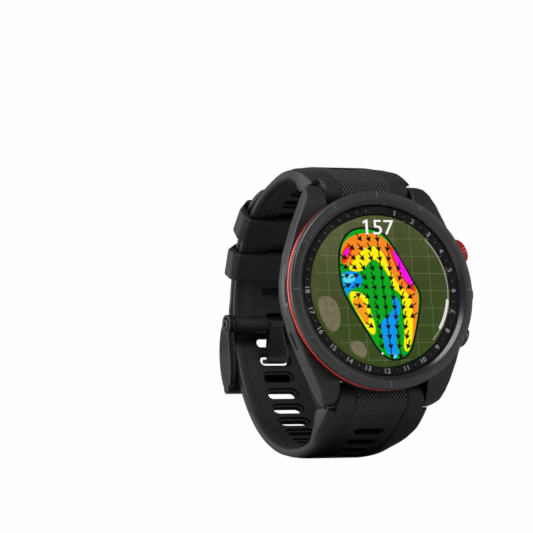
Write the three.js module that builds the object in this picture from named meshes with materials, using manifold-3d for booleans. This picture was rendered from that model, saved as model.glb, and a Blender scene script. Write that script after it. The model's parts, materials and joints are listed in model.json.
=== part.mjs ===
// A golf GPS watch, done up as it is worn. Millimetres. The origin is the centre of the wrist-side face of the
// heart-rate window: +X points to 3 o'clock, +Y through the wrist, +Z to 12 o'clock, so the dial faces -Y.
import * as THREE from "three";
import { mergeVertices } from "three/addons/utils/BufferGeometryUtils.js";
import Module from "manifold-3d";

const wasm = await Module();
wasm.setup();

// ---------------------------------------------------------------- driving dimensions
const GAP = 0.3; // between pieces that are cut by, or rest on, each other

// along the dial's axis, from the front towards the wrist
const BEZEL = { outer: 23.5, flat: 21.4, inner: 20.3, front: -14.0, back: -12.2 };
const LENS = { r: 20.0, front: -13.5, back: -13.0 };
const NUMBER_RING = { inner: 18.1, outer: 20.0, front: -12.7, back: -12.3 };
const SCREEN = { r: 17.8, front: -12.7, back: -10.7 };
const ACCENT = { inner: 20.5, outer: 23.45, front: -11.9, back: -11.0 };
const BODY = { r: 23.5, front: -10.7, back: -2.6 };
const CAVITY = { r: 18.6, front: -10.4 };
const COVER = { r: 19.6, plateBack: -1.6, stepR: 15.6, stepBack: -1.0, spigotR: 17.4, spigotFront: -3.4 };
const SENSOR = { collarR: 8.6, windowR: 7.0, collarBack: -0.3 };

// lugs, and the pins the strap clips to
const STRAP_HALF = 11.0;
const LUG_INSIDE = STRAP_HALF + 0.35;
const LUG_TIP_R = 2.1;
const BAR = { y: -5.0, z: 24.2, r: 0.75, half: 12.2 };
const ROOT_R = 3.9; // the strap's end, round about the pin
const POCKET_Z = BAR.z - ROOT_R - GAP;
const BORE_CLEAR = 0.3;
const LATCH = { y: 1.6, z: 25.6, slope: 47 }; // slope of the strap's wrist side, in degrees

// The worn loop, drawn about one centre. Angles run from +Y towards +Z. Each station: angle, wrist side, outside.
const LOOP_Y = 16.0;
const UPPER_STATIONS = [
  [135, 31.6, 35.15],
  [132, 30.2, 35.8],
  [128, 28.6, 35.6],
  [121, 29.9, 35.5],
  [112, 31.2, 35.0],
  [98, 31.5, 34.4],
  [78, 31.2, 33.7],
  [7.5, 31.2, 33.7],
];
const LOWER_STATIONS = [
  [-135, 31.6, 35.15],
  [-132, 30.2, 35.8],
  [-128, 28.6, 35.6],
  [-121, 29.9, 35.5],
  [-112, 31.7, 35.2],
  [-98, 32.4, 35.0],
  [-45, 32.9, 35.4],
  [-12, 33.0, 35.5],
  [-6, 33.5, 36.0],
  [0, 34.6, 37.1],
  [5, 34.85, 37.35],
  [10, 34.6, 37.1],
  [16, 34.0, 36.5],
  [69, 34.0, 36.5],
];
const SLOT_STATION = LOWER_STATIONS[7]; // where the tongue goes through
const SLOT = { half: 3.8, width: 2.5, pitch: 8.2, first: -10.8, upperFirst: 19.5, upperPitch: 9.4 };
const TAIL_HALF = STRAP_HALF - 0.4;
const FLARE = { half: 12.9, clearR: 2.45 }; // the strap's wide part, and its room round the lugs' tips

// buckle, about its own pin
const PIN = { r: 32.45, angle: 4.6, radius: 0.8 };
const PIN_BARREL_R = 2.1;
const FRAME = { inside: STRAP_HALF + 0.45, arm: 1.6, eyeR: 2.4, barR: 1.4, barLoopR: 37.3, barAngle: -20.5 };
const TONGUE = { hubHalf: 1.9, half: 2.9, tipHalf: 2.4, thick: 1.1, hubR: 1.9, tipIn: 8.8, tipOut: 9.85 };
const KEEPER = { clearIn: 30.7, clearOut: 36.95, wallIn: 0.9, wallOut: 1.7, half: 13.0, length: 7.0 };
const KEEPER_ANGLES = { keeper_free: 51, keeper_fixed: 31.2 };

// push buttons, by the angle of their axis above 3 o'clock
const BUTTON_Y = -6.8;
const BUTTONS = [
  { name: "button_top", angle: 23.5, headR: 3.0, tip: 27.0, bossR: 3.4 },
  { name: "button_mid", angle: 0, headR: 2.3, tip: 26.1, bossR: 2.9 },
  { name: "button_low", angle: -23.5, headR: 2.3, tip: 26.1, bossR: 2.9 },
];
const BOSS_END = 24.2;
const HEAD_START = 24.9;
const STEM = { r: 1.15, end: 17.3 };
const SWITCH_FACE = 16.6;

const radians = THREE.MathUtils.degToRad;

// ---------------------------------------------------------------- solids
function solidOf(geometry) {
  const plain = (geometry.index ? geometry.toNonIndexed() : geometry).clone();
  plain.deleteAttribute("normal");
  plain.deleteAttribute("uv");
  const merged = mergeVertices(plain, 1e-4);
  const triVerts = new Uint32Array(merged.index.array);
  const vertProperties = merged.attributes.position.array;
  const made = new wasm.Manifold(new wasm.Mesh({ numProp: 3, vertProperties, triVerts }));
  if (made.volume() > 0) return made;
  for (let i = 0; i < triVerts.length; i += 3) {
    [triVerts[i + 1], triVerts[i + 2]] = [triVerts[i + 2], triVerts[i + 1]];
  }
  return new wasm.Manifold(new wasm.Mesh({ numProp: 3, vertProperties, triVerts }));
}

function geometryOf(solid) {
  const mesh = solid.getMesh();
  const positions = new Float32Array(mesh.numVert * 3);
  for (let i = 0; i < mesh.numVert; i++) {
    positions.set(mesh.vertProperties.subarray(i * mesh.numProp, i * mesh.numProp + 3), i * 3);
  }
  const geometry = new THREE.BufferGeometry();
  geometry.setAttribute("position", new THREE.BufferAttribute(positions, 3));
  geometry.setIndex(new THREE.BufferAttribute(new Uint32Array(mesh.triVerts), 1));
  return geometry;
}

const join = (first, ...others) => others.reduce((sum, next) => sum.add(next), first);
const cut = (first, ...others) => others.reduce((left, next) => left.subtract(next), first);

// Turned about the dial's axis, from a closed list of [radius, y].
function turned(profile, segments = 48) {
  const closed = [...profile, profile[0]].map(([r, y]) => new THREE.Vector2(r, y));
  return solidOf(new THREE.LatheGeometry(closed, segments));
}

const ring = (inner, outer, front, back, segments = 48) =>
  turned([[inner, front], [outer, front], [outer, back], [inner, back]], segments);

function disc(radius, front, back, segments = 32, x = 0, z = 0) {
  const geometry = new THREE.CylinderGeometry(radius, radius, back - front, segments);
  return solidOf(geometry.translate(x, (front + back) / 2, z));
}

// A cylinder along X, at a height on the side view.
function roller(radius, x0, x1, y, z, segments = 24) {
  const geometry = new THREE.CylinderGeometry(radius, radius, x1 - x0, segments);
  return solidOf(geometry.rotateZ(Math.PI / 2).translate((x0 + x1) / 2, y, z));
}

function block(x0, x1, y0, y1, z0, z1) {
  const geometry = new THREE.BoxGeometry(x1 - x0, y1 - y0, z1 - z0);
  return solidOf(geometry.translate((x0 + x1) / 2, (y0 + y1) / 2, (z0 + z1) / 2));
}

// A side-view outline of [y, z], carried across from x0 to x1.
const SIDE_VIEW = new THREE.Matrix4().makeBasis(
  new THREE.Vector3(0, 1, 0),
  new THREE.Vector3(0, 0, 1),
  new THREE.Vector3(1, 0, 0),
);
function sideSlab(outline, x0, x1) {
  const shape = outline.isShape ? outline : new THREE.Shape(outline.map(([y, z]) => new THREE.Vector2(y, z)));
  const geometry = new THREE.ExtrudeGeometry(shape, { depth: x1 - x0, bevelEnabled: false, curveSegments: 12 });
  return solidOf(geometry.applyMatrix4(SIDE_VIEW).translate(x0, 0, 0));
}

// A front-view outline, carried from the front to the back.
const FRONT_VIEW = new THREE.Matrix4().makeBasis(
  new THREE.Vector3(1, 0, 0),
  new THREE.Vector3(0, 0, 1),
  new THREE.Vector3(0, -1, 0),
);
function frontSlab(shape, front, back) {
  const geometry = new THREE.ExtrudeGeometry(shape, { depth: back - front, bevelEnabled: false, curveSegments: 6 });
  return solidOf(geometry.applyMatrix4(FRONT_VIEW).translate(0, back, 0));
}

function obround(halfWidth, halfHeight, x = 0, z = 0) {
  const shape = new THREE.Shape();
  const straight = halfHeight - halfWidth;
  shape.absarc(x, z + straight, halfWidth, 0, Math.PI);
  shape.absarc(x, z - straight, halfWidth, Math.PI, 2 * Math.PI);
  return shape;
}

// ---------------------------------------------------------------- the loop's side view
const onLoop = (r, angle) => [LOOP_Y + r * Math.cos(radians(angle)), r * Math.sin(radians(angle))];

// Both sides of a strap between stations, eased so that neither side has a corner.
function stationAt(stations, angle) {
  const i = stations.findIndex((s, n) => n > 0 && (angle - stations[n - 1][0]) * (angle - s[0]) <= 0);
  const [a, b] = [stations[i - 1], stations[i]];
  const t = (angle - a[0]) / (b[0] - a[0]);
  const ease = t * t * (3 - 2 * t);
  return [a[1] + (b[1] - a[1]) * ease, a[2] + (b[2] - a[2]) * ease];
}

function ribbon(stations, half, step = 3) {
  const from = stations[0][0];
  const to = stations[stations.length - 1][0];
  const count = Math.round(Math.abs(to - from) / step);
  const angles = Array.from({ length: count + 1 }, (_, i) => from + ((to - from) * i) / count);
  const inside = angles.map((angle) => onLoop(stationAt(stations, angle)[0], angle));
  const outside = angles.map((angle) => onLoop(stationAt(stations, angle)[1], angle));
  return sideSlab([...inside, ...outside.reverse()], -half, half);
}

function sector(r0, r1, from, to, half, step = 3) {
  const count = Math.max(1, Math.round(Math.abs(to - from) / step));
  const angles = Array.from({ length: count + 1 }, (_, i) => from + ((to - from) * i) / count);
  const inside = angles.map((angle) => onLoop(r0, angle));
  const outside = angles.map((angle) => onLoop(r1, angle)).reverse();
  return sideSlab([...inside, ...outside], -half, half);
}

// Turns a solid about the loop's centre line, from the +Y direction to an angle on the loop.
const roundLoop = (solid, angle) =>
  solid.translate([0, -LOOP_Y, 0]).rotate([angle, 0, 0]).translate([0, LOOP_Y, 0]);

// A through slot of the strap: long across the strap, with round ends.
function slotCutter(angle) {
  const shape = new THREE.Shape();
  const straight = SLOT.half - SLOT.width / 2;
  shape.absarc(straight, 0, SLOT.width / 2, -Math.PI / 2, Math.PI / 2);
  shape.absarc(-straight, 0, SLOT.width / 2, Math.PI / 2, (3 * Math.PI) / 2);
  const depth = 14;
  const geometry = new THREE.ExtrudeGeometry(shape, { depth, bevelEnabled: false, curveSegments: 3 });
  geometry.applyMatrix4(FRONT_VIEW).translate(0, LOOP_Y + 26 + depth, 0);
  return roundLoop(solidOf(geometry), angle);
}

const PIN_AT = onLoop(PIN.r, PIN.angle);
const aboutBar = (r, angle) => [BAR.y + r * Math.cos(radians(angle)), BAR.z + r * Math.sin(radians(angle))];

// ---------------------------------------------------------------- case, bezel and glass
// A cylinder whose axis leaves the dial's axis level with the buttons.
function spoke(radius, r0, r1, angle, segments = 20) {
  const geometry = new THREE.CylinderGeometry(radius, radius, r1 - r0, segments);
  geometry.rotateZ(-Math.PI / 2).translate((r0 + r1) / 2, BUTTON_Y, 0).rotateY(-radians(angle));
  return solidOf(geometry);
}

// One lug, with its side leaning in towards the wrist.
function lug() {
  const wide = [
    [LUG_INSIDE, 3], [LUG_INSIDE, 26.8], [13.2, 26.8], [15.2, 25.2], [19.3, 16.4], [21.9, 9.4], [23.3, 3],
  ];
  const narrow = [
    [LUG_INSIDE, 3], [LUG_INSIDE, 26.8], [12.0, 26.8], [13.2, 24.6], [16.6, 16.4], [19.2, 9.4], [20.4, 3],
  ];
  const at = (outline, y) => outline.map(([x, z]) => [x, y, z]);
  return wasm.Manifold.hull([...at(wide, -10.7), ...at(wide, -6.4), ...at(narrow, -1.0)]);
}

// The lugs slope back from under the bezel, and their tips are round about the strap's pin.
function lugs() {
  const tip = [110, 90, 70, 45, 20, 0].map((a) => aboutBar(LUG_TIP_R, a)).map(([y, z]) => [y, -z]);
  const side = [
    [-10.7, -20.8], [-9.9, -23.4], [-8.6, -25.0], [-7.2, -25.75], ...tip, [-2.3, -22.3], [-1.7, -19.5], [-4.6, -9],
    [-5.4, -3],
  ];
  const profile = [...side, ...side.map(([y, z]) => [y, -z]).reverse()];
  const right = join(lug(), lug().mirror([0, 0, 1]));
  return join(right, right.mirror([1, 0, 0])).intersect(sideSlab(profile, -24, 24));
}

function caseBody() {
  const shell = turned([
    [CAVITY.r, BODY.front], [22.6, BODY.front], [BODY.r, -9.0], [BODY.r, -6.4], [22.4, -4.2], [20.6, BODY.back],
    [CAVITY.r, BODY.back],
  ]);
  const bosses = BUTTONS.map((b) => spoke(b.bossR, 19.4, BOSS_END, b.angle));
  const pocket = block(-LUG_INSIDE, LUG_INSIDE, -9.2, 4, POCKET_Z, 40);
  const bores = BUTTONS.map((b) => spoke(STEM.r + 0.3, 12, 30, b.angle, 12));
  const seals = BUTTONS.map((b) => spoke(2.1, 20.6, 21.8, b.angle, 16));
  const pinHole = roller(BAR.r + BORE_CLEAR, -12.5, 12.5, BAR.y, BAR.z, 16);
  const pinSeat = roller(BAR.r + BORE_CLEAR, -12.5, 12.5, BAR.y, -BAR.z, 16);
  const pinWay = block(-12.5, 12.5, BAR.y, 4, -BAR.z - BAR.r - BORE_CLEAR, -BAR.z + BAR.r + BORE_CLEAR + 0.25);
  const sideSlit = block(-24.5, -20.2, -8.3, -7.6, -15.2, -9.2);
  const cavity = disc(CAVITY.r, -20, 4, 48);
  const coverSeat = disc(COVER.r + GAP, BODY.back - 0.01, 4, 48);
  return cut(
    join(shell, lugs(), ...bosses),
    pocket, pocket.mirror([0, 0, 1]), cavity, coverSeat, ...bores, ...seals, pinHole, pinSeat, pinWay, sideSlit,
  );
}

function bezel() {
  const back = BEZEL.back;
  return turned([
    [BEZEL.inner, -12.9], [BEZEL.inner, -13.3], [BEZEL.flat - 0.3, BEZEL.front], [BEZEL.outer - 0.7, BEZEL.front],
    [BEZEL.outer, -13.2], [BEZEL.outer, back], [BEZEL.inner, back],
  ], 60);
}

const lens = () => turned([[0, LENS.front], [19.7, LENS.front], [LENS.r, -13.3], [LENS.r, LENS.back], [0, LENS.back]]);

// ---------------------------------------------------------------- inside the case
const chassis = () =>
  cut(disc(18.2, -10.3, -9.5, 40), block(-8, 8, -12, -8, -13.5, -9.5), block(-9, 9, -12, -8, 9.5, 12.5));

const mainBoard = () => cut(disc(17.6, -9.2, -8.4, 40), block(-3.5, 3.5, -10, -8, -18, -14.8));
const processorShield = () => block(-10.6, 0.6, -8.1, -7.0, 4.6, 13.6);
const radioShield = () => block(2.4, 9.6, -8.1, -7.1, 5.6, 12.6);
const battery = () => block(-12.4, 8.4, -8.1, -4.3, -11.0, 3.8);
const vibrationMotor = () => disc(3.1, -8.1, -5.5, 24, -1.5, -14.7);
const buzzer = () => cut(disc(3.5, -6.6, -4.2, 28, -8.6, 10), disc(0.8, -5.0, -3, 12, -8.6, 10));

// The antenna runs inside the case wall, on the side away from the buttons.
function gpsAntenna() {
  const strip = ring(17.5, 18.2, -8.0, -4.4);
  const keep = block(-19, -12.6, -9, -3, -13.5, 13.5);
  return strip.intersect(keep);
}

const sensorBoard = () => disc(7.6, -3.7, -3.0, 40);

// ---------------------------------------------------------------- back of the case
function rearCover() {
  const plate = turned([
    [0, -2.3], [COVER.r, -2.3], [COVER.r, COVER.plateBack], [17.6, -1.45], [COVER.stepR, COVER.stepBack],
    [9.6, COVER.stepBack], [SENSOR.collarR, SENSOR.collarBack], [0, SENSOR.collarBack],
  ]);
  const spigot = ring(16.0, COVER.spigotR, COVER.spigotFront, -2.2);
  const window = disc(SENSOR.windowR + 0.8, -4, 1, 40);
  const charging = frontSlab(obround(2.3, 6.2, 13.2, 0), -2.0, 1);
  const throughPins = frontSlab(obround(1.25, 4.9, 13.2, 0), -4, 1);
  return cut(join(plate, spigot), window, charging, throughPins);
}

const rearGasket = () => ring(17.65, 18.35, -3.3, -2.7);
const sensorCollar = () =>
  turned([[SENSOR.windowR + 0.1, -2.2], [7.5, -2.2], [7.5, -0.2], [7.3, -0.05], [SENSOR.windowR + 0.1, -0.05]], 40);
const sensorWindow = () => turned([[0, -0.8], [6.9, -0.8], [6.9, -0.15], [6.6, 0], [0, 0]], 40);

// Light sources and light sensors stand on the small board behind the window.
const onSensor = (half, x, z) => block(-half, half, -2.7, -1.2, -half, half).rotate([0, 45, 0]).translate([x, 0, z]);

const contactBlock = () => frontSlab(obround(0.95, 4.6, 13.2, 0), -4.6, -1.9);
const contactPin = (z) => disc(0.42, -1.6, -1.2, 16, 13.2, z);

// ---------------------------------------------------------------- buttons
function button({ angle, headR, tip, name }) {
  const head = spoke(headR, HEAD_START, tip, angle, 24);
  const stem = spoke(STEM.r, STEM.end, HEAD_START + 0.1, angle, 12);
  const recess = spoke(headR - 0.7, tip - 0.6, tip + 1, angle, 24);
  return cut(join(head, stem), recess);
}
const buttonCap = ({ angle, headR, tip }) => spoke(headR - 1.0, tip - 0.3, tip + 0.2, angle, 24);
const buttonSeal = ({ angle }) => cut(spoke(1.9, 20.8, 21.6, angle, 16), spoke(STEM.r + 0.15, 20, 23, angle, 12));
const tactSwitch = ({ angle }) =>
  block(14.2, SWITCH_FACE, BUTTON_Y - 1.2, BUTTON_Y + 1.2, -1.7, 1.7).rotate([0, -angle, 0]);

// ---------------------------------------------------------------- strap
const springBar = (z) => roller(BAR.r, -BAR.half, BAR.half, BAR.y, z, 20);

function strapRoot(z) {
  return roller(ROOT_R, -STRAP_HALF, STRAP_HALF, BAR.y, z, 40);
}

const rootBore = (z) => roller(BAR.r + BORE_CLEAR, -12, 12, BAR.y, z, 20);

// The end round the pin is narrower towards the wrist, so a little of the pin shows on each side.
function rootShoulder(z) {
  const side = block(9.2, 14, BAR.y - 0.2, 1.2, z > 0 ? 18 : z - 1.9, z > 0 ? z + 1.9 : -18);
  return join(side, side.mirror([1, 0, 0]));
}

// Past the lugs' tips the strap is nearly as wide as the case, and narrows again along the loop.
function strapFlare(stations, half) {
  const side = Math.sign(stations[0][0]);
  const right = [[FLARE.half, -9], [FLARE.half, -1], [(FLARE.half + half) / 2, 4.5], [half - 0.01, 12]];
  const left = right.map(([x, y]) => [-x, y]).reverse();
  const plan = new THREE.Shape([...right, ...left].map(([x, y]) => new THREE.Vector2(x, y)));
  const taper = frontSlab(plan, -60, 60).rotate([-90, 0, 0]);
  const barred = sideSlab([[BAR.y, BAR.z], aboutBar(40, 110), [-60, -20], [60, -20], aboutBar(60, 0)], 11, 15);
  const swept = join(barred, roller(FLARE.clearR, 11, 15, BAR.y, BAR.z, 40));
  const clear = join(swept, swept.mirror([1, 0, 0]));
  const wide = ribbon(stations.filter(([angle]) => Math.abs(angle) >= 78), FLARE.half).intersect(taper);
  return cut(wide, side > 0 ? clear : clear.mirror([0, 0, 1]));
}

// The release latch slides in a pocket on the wrist side of each strap's end, away from the pin.
function atLatch(solid, side) {
  const placed = solid.rotate([LATCH.slope, 0, 0]).translate([0, LATCH.y, LATCH.z]);
  return side > 0 ? placed : placed.mirror([0, 0, 1]);
}
const latchPocket = (side) => atLatch(block(-3.9, 3.9, -3.2, 3.2, -2.5, 1.5), side);
function latch(side) {
  const plate = block(-3.55, 3.55, -2.85, 1.85, 0.1, 1.2);
  const ridge = block(-2.6, 2.6, 0.6, 1.4, -0.5, 0.2);
  return atLatch(join(plate, ridge), side);
}

function upperStrap() {
  const slots = Array.from({ length: 11 }, (_, i) => slotCutter(SLOT.upperFirst + SLOT.upperPitch * i));
  const barrel = roller(PIN_BARREL_R, -STRAP_HALF, STRAP_HALF, ...PIN_AT, 28);
  const bore = roller(PIN.radius + BORE_CLEAR, -12, 12, ...PIN_AT, 20);
  const gapHalf = TONGUE.hubHalf + 0.35;
  const tongueGap = sector(26, 34.5, -4, 9.6, gapHalf);
  const eyeGap = block(-gapHalf, gapHalf, PIN_AT[0] - 2.6, PIN_AT[0] + 2.4, PIN_AT[1] - 2.6, PIN_AT[1] + 2.6);
  return cut(
    join(ribbon(UPPER_STATIONS, STRAP_HALF), strapFlare(UPPER_STATIONS, STRAP_HALF), strapRoot(BAR.z), barrel),
    rootBore(BAR.z), rootShoulder(BAR.z), latchPocket(1), bore, tongueGap, eyeGap, ...slots,
  );
}

function lowerStrap() {
  const angles = Array.from({ length: 23 }, (_, i) => SLOT.first + SLOT.pitch * (i - 13));
  const slots = angles.filter((a) => a > -121 && a < 63).map(slotCutter);
  return cut(
    join(ribbon(LOWER_STATIONS, TAIL_HALF), strapFlare(LOWER_STATIONS, TAIL_HALF), strapRoot(-BAR.z)),
    rootBore(-BAR.z), rootShoulder(-BAR.z), latchPocket(-1), ...slots,
  );
}

// ---------------------------------------------------------------- keepers and buckle
// A loop round both straps, with its outer corners cut well back.
function keeper(angle) {
  const { clearIn, clearOut, wallIn, wallOut, half, length } = KEEPER;
  const outline = [
    [-half + 1.2, clearIn - wallIn], [half - 1.2, clearIn - wallIn], [half, clearIn + 0.8], [half, clearOut - 2.2],
    [half - 3.4, clearOut + wallOut], [-half + 3.4, clearOut + wallOut], [-half, clearOut - 2.2], [-half, clearIn + 0.8],
  ];
  const opening = [
    [-11.35, clearIn], [11.35, clearIn], [11.35, clearOut - 0.9], [10.95, clearOut], [-10.95, clearOut],
    [-11.35, clearOut - 0.9],
  ];
  const shape = new THREE.Shape(outline.map(([x, r]) => new THREE.Vector2(x, r)));
  shape.holes.push(new THREE.Path(opening.map(([x, r]) => new THREE.Vector2(x, r))));
  const geometry = new THREE.ExtrudeGeometry(shape, { depth: length, bevelEnabled: false });
  return roundLoop(solidOf(geometry.translate(0, LOOP_Y, -length / 2)), angle);
}

// The side view of one arm: an eye about the pin, bulging out and down to the end bar.
function frameArm(x0, x1) {
  const bar = onLoop(FRAME.barLoopR, FRAME.barAngle);
  const arm = [
    onLoop(31.2, 3), onLoop(31.4, -4), onLoop(31.8, -11), onLoop(33.2, -17.5), onLoop(35.2, -21.5), bar,
    onLoop(38.7, -19.5), onLoop(38.8, -12), onLoop(37.6, -3), onLoop(35.4, 4.5), PIN_AT,
  ];
  const eye = roller(FRAME.eyeR, x0, x1, ...PIN_AT, 28);
  const corner = roller(FRAME.barR, x0, x1, ...bar, 20);
  return join(sideSlab(arm, x0, x1), eye, corner);
}

function buckleFrame() {
  const inside = FRAME.inside;
  const outside = inside + FRAME.arm;
  const bar = onLoop(FRAME.barLoopR, FRAME.barAngle);
  const endBar = join(
    roller(FRAME.barR, -outside, outside, ...bar, 20),
    sector(36.5, 38.3, -11.5, -21, outside, 2),
  );
  const eyes = roller(PIN.radius + BORE_CLEAR, -20, 20, ...PIN_AT, 20);
  const seats = [1, -1].map((s) => roller(1.65, s > 0 ? outside - 0.6 : -20, s > 0 ? 20 : 0.6 - outside, ...PIN_AT, 24));
  return cut(join(frameArm(inside, outside), frameArm(-outside, -inside), endBar), eyes, ...seats);
}

// The pin's two round heads lie in sunk seats in the arms, and each has a hexagonal socket.
function bucklePin() {
  const end = FRAME.inside + FRAME.arm;
  const shaft = roller(PIN.radius, -end, end, ...PIN_AT, 20);
  const heads = join(roller(1.35, end - 0.3, end + 0.2, ...PIN_AT, 24), roller(1.35, -end - 0.2, -end + 0.3, ...PIN_AT, 24));
  const sockets = join(roller(0.6, end - 0.1, end + 1, ...PIN_AT, 6), roller(0.6, -end - 1, -end + 0.1, ...PIN_AT, 6));
  return cut(join(shaft, heads), sockets);
}

// The tongue hangs inside the strap, widening from its hub, and its tip turns out through one slot along an
// arc about the pin.
function buckleTongue() {
  const { hubHalf, half, tipHalf, thick, hubR, tipIn, tipOut } = TONGUE;
  const [py, pz] = PIN_AT;
  const about = (r, degrees) => [py + r * Math.sin(radians(degrees)), pz - r * Math.cos(radians(degrees))];
  const hub = roller(hubR, -hubHalf, hubHalf, py, pz, 28);
  const inner = onLoop(SLOT_STATION[1] - GAP - thick, -10.6);
  const bend = onLoop(SLOT_STATION[1] - GAP, -8.6);
  const plate = sideSlab([[py - 1.5, pz - 0.6], [py + 0.6, pz - 1.6], bend, about(tipOut, -5), inner], -half, half);
  const right = [[hubHalf, pz + 3], [hubHalf, pz - 2.4], [half, pz - 7.4], [half, pz - 14]];
  const left = right.map(([x, z]) => [-x, z]).reverse();
  const taper = frontSlab(new THREE.Shape([...right, ...left].map(([x, z]) => new THREE.Vector2(x, z))), 30, 60);
  const sweep = [-6, -1, 4, 9, 14, 19];
  const tip = sideSlab([...sweep.map((a) => about(tipIn, a)), ...sweep.reverse().map((a) => about(tipOut, a))],
    -tipHalf, tipHalf);
  return cut(join(hub, plate, tip).intersect(taper), roller(PIN.radius + BORE_CLEAR, -12, 12, py, pz, 20));
}

// ---------------------------------------------------------------- the assembly
const BLACK = 0x26272a;
const CHARCOAL = 0x33353a;
const GREY = 0x45484d;
const RED = 0xd92d2a;
const STEEL = 0xb9bcc0;
const GOLD = 0xd8b45a;
const BOARD = 0x1f5a3a;

const pieces = {
  case_body: [CHARCOAL, caseBody()],
  bezel: [GREY, bezel()],
  accent_ring: [RED, ring(ACCENT.inner, ACCENT.outer, ACCENT.front, ACCENT.back, 60)],
  lens: [0x9fb4bd, lens()],
  number_ring: [BLACK, ring(NUMBER_RING.inner, NUMBER_RING.outer, NUMBER_RING.front, NUMBER_RING.back)],
  display_panel: [0x3f5a22, disc(SCREEN.r, SCREEN.front, SCREEN.back, 48)],
  lens_gasket: [BLACK, ring(18.9, 20.1, -11.4, -11.0)],
  chassis: [GREY, chassis()],
  main_board: [BOARD, mainBoard()],
  processor_shield: [STEEL, processorShield()],
  radio_shield: [STEEL, radioShield()],
  battery: [0x8c9096, battery()],
  vibration_motor: [STEEL, vibrationMotor()],
  buzzer: [STEEL, buzzer()],
  gps_antenna: [GOLD, gpsAntenna()],
  sensor_board: [BOARD, sensorBoard()],
  rear_cover: [BLACK, rearCover()],
  rear_gasket: [0x50545a, rearGasket()],
  sensor_collar: [GREY, sensorCollar()],
  sensor_window: [BLACK, sensorWindow()],
  led_upper: [0x35e86a, onSensor(0.75, 0, 1.6)],
  led_lower: [0x35e86a, onSensor(0.75, 0, -1.6)],
  photodiode_1: [0x6b6e73, onSensor(1.05, 2.7, 3.0)],
  photodiode_2: [0x6b6e73, onSensor(1.05, -2.7, 3.0)],
  photodiode_3: [0x6b6e73, onSensor(1.05, -2.7, -3.0)],
  photodiode_4: [0x6b6e73, onSensor(1.05, 2.7, -3.0)],
  contact_block: [BLACK, contactBlock()],
  contact_pin_1: [GOLD, contactPin(3.3)],
  contact_pin_2: [GOLD, contactPin(1.1)],
  contact_pin_3: [GOLD, contactPin(-1.1)],
  contact_pin_4: [GOLD, contactPin(-3.3)],
  spring_bar_upper: [STEEL, springBar(BAR.z)],
  spring_bar_lower: [STEEL, springBar(-BAR.z)],
  upper_strap: [CHARCOAL, upperStrap()],
  lower_strap: [CHARCOAL, lowerStrap()],
  latch_upper: [CHARCOAL, latch(1)],
  latch_lower: [CHARCOAL, latch(-1)],
  buckle_frame: [GREY, buckleFrame()],
  buckle_pin: [STEEL, bucklePin()],
  buckle_tongue: [GREY, buckleTongue()],
};
for (const b of BUTTONS) {
  pieces[b.name] = [b.name === "button_top" ? RED : CHARCOAL, button(b)];
  pieces[`${b.name}_cap`] = [BLACK, buttonCap(b)];
  pieces[`${b.name}_seal`] = [0x50545a, buttonSeal(b)];
  pieces[`${b.name}_switch`] = [STEEL, tactSwitch(b)];
}
for (const [name, angle] of Object.entries(KEEPER_ANGLES)) pieces[name] = [CHARCOAL, keeper(angle)];

const watch = new THREE.Group();
watch.name = "golf_gps_watch";
for (const [name, [color, solid]] of Object.entries(pieces)) {
  const mesh = new THREE.Mesh(geometryOf(solid), new THREE.MeshStandardMaterial({ color }));
  mesh.name = name;
  watch.add(mesh);
}

export default watch;
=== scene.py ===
"""Looks for the golf GPS watch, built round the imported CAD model.

The dial faces -Y, 12 o'clock is +Z and the buttons are towards +X. Blender works in metres. The sizes here
are in millimetres, and make_object and moved turn them into metres.
"""
import json
import math
from functools import partial

import bmesh
import bpy
from mathutils import Matrix, Vector


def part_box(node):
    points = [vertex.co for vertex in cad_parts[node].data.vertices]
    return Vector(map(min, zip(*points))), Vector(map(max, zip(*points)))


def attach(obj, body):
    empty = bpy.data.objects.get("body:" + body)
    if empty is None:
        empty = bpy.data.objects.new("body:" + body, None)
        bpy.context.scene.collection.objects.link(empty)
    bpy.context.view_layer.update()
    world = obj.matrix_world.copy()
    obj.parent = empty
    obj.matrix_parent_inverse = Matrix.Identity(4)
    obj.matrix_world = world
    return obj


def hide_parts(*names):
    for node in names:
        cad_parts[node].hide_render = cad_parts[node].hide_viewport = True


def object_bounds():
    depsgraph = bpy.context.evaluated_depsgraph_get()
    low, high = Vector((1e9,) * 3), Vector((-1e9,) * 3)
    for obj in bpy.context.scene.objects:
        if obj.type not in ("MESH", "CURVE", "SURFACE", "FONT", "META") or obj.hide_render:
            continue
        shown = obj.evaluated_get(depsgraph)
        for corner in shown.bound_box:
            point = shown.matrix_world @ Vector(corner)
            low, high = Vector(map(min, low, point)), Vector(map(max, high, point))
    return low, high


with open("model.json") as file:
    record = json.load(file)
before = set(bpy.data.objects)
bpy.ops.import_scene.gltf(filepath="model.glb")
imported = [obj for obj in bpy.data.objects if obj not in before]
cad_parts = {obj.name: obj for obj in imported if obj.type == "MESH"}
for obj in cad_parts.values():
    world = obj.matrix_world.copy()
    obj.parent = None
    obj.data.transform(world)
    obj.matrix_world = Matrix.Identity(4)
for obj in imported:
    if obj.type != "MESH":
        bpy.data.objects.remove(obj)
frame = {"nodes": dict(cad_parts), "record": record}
CAD_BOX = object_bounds()
RECORD = frame["record"]
MM = 0.001
TAU = 2 * math.pi
rad = math.radians


# ------------------------------------------------------------------ places read from the CAD
def mm_box(node):
    low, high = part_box(node)
    return Vector(low) / MM, Vector(high) / MM


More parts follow.
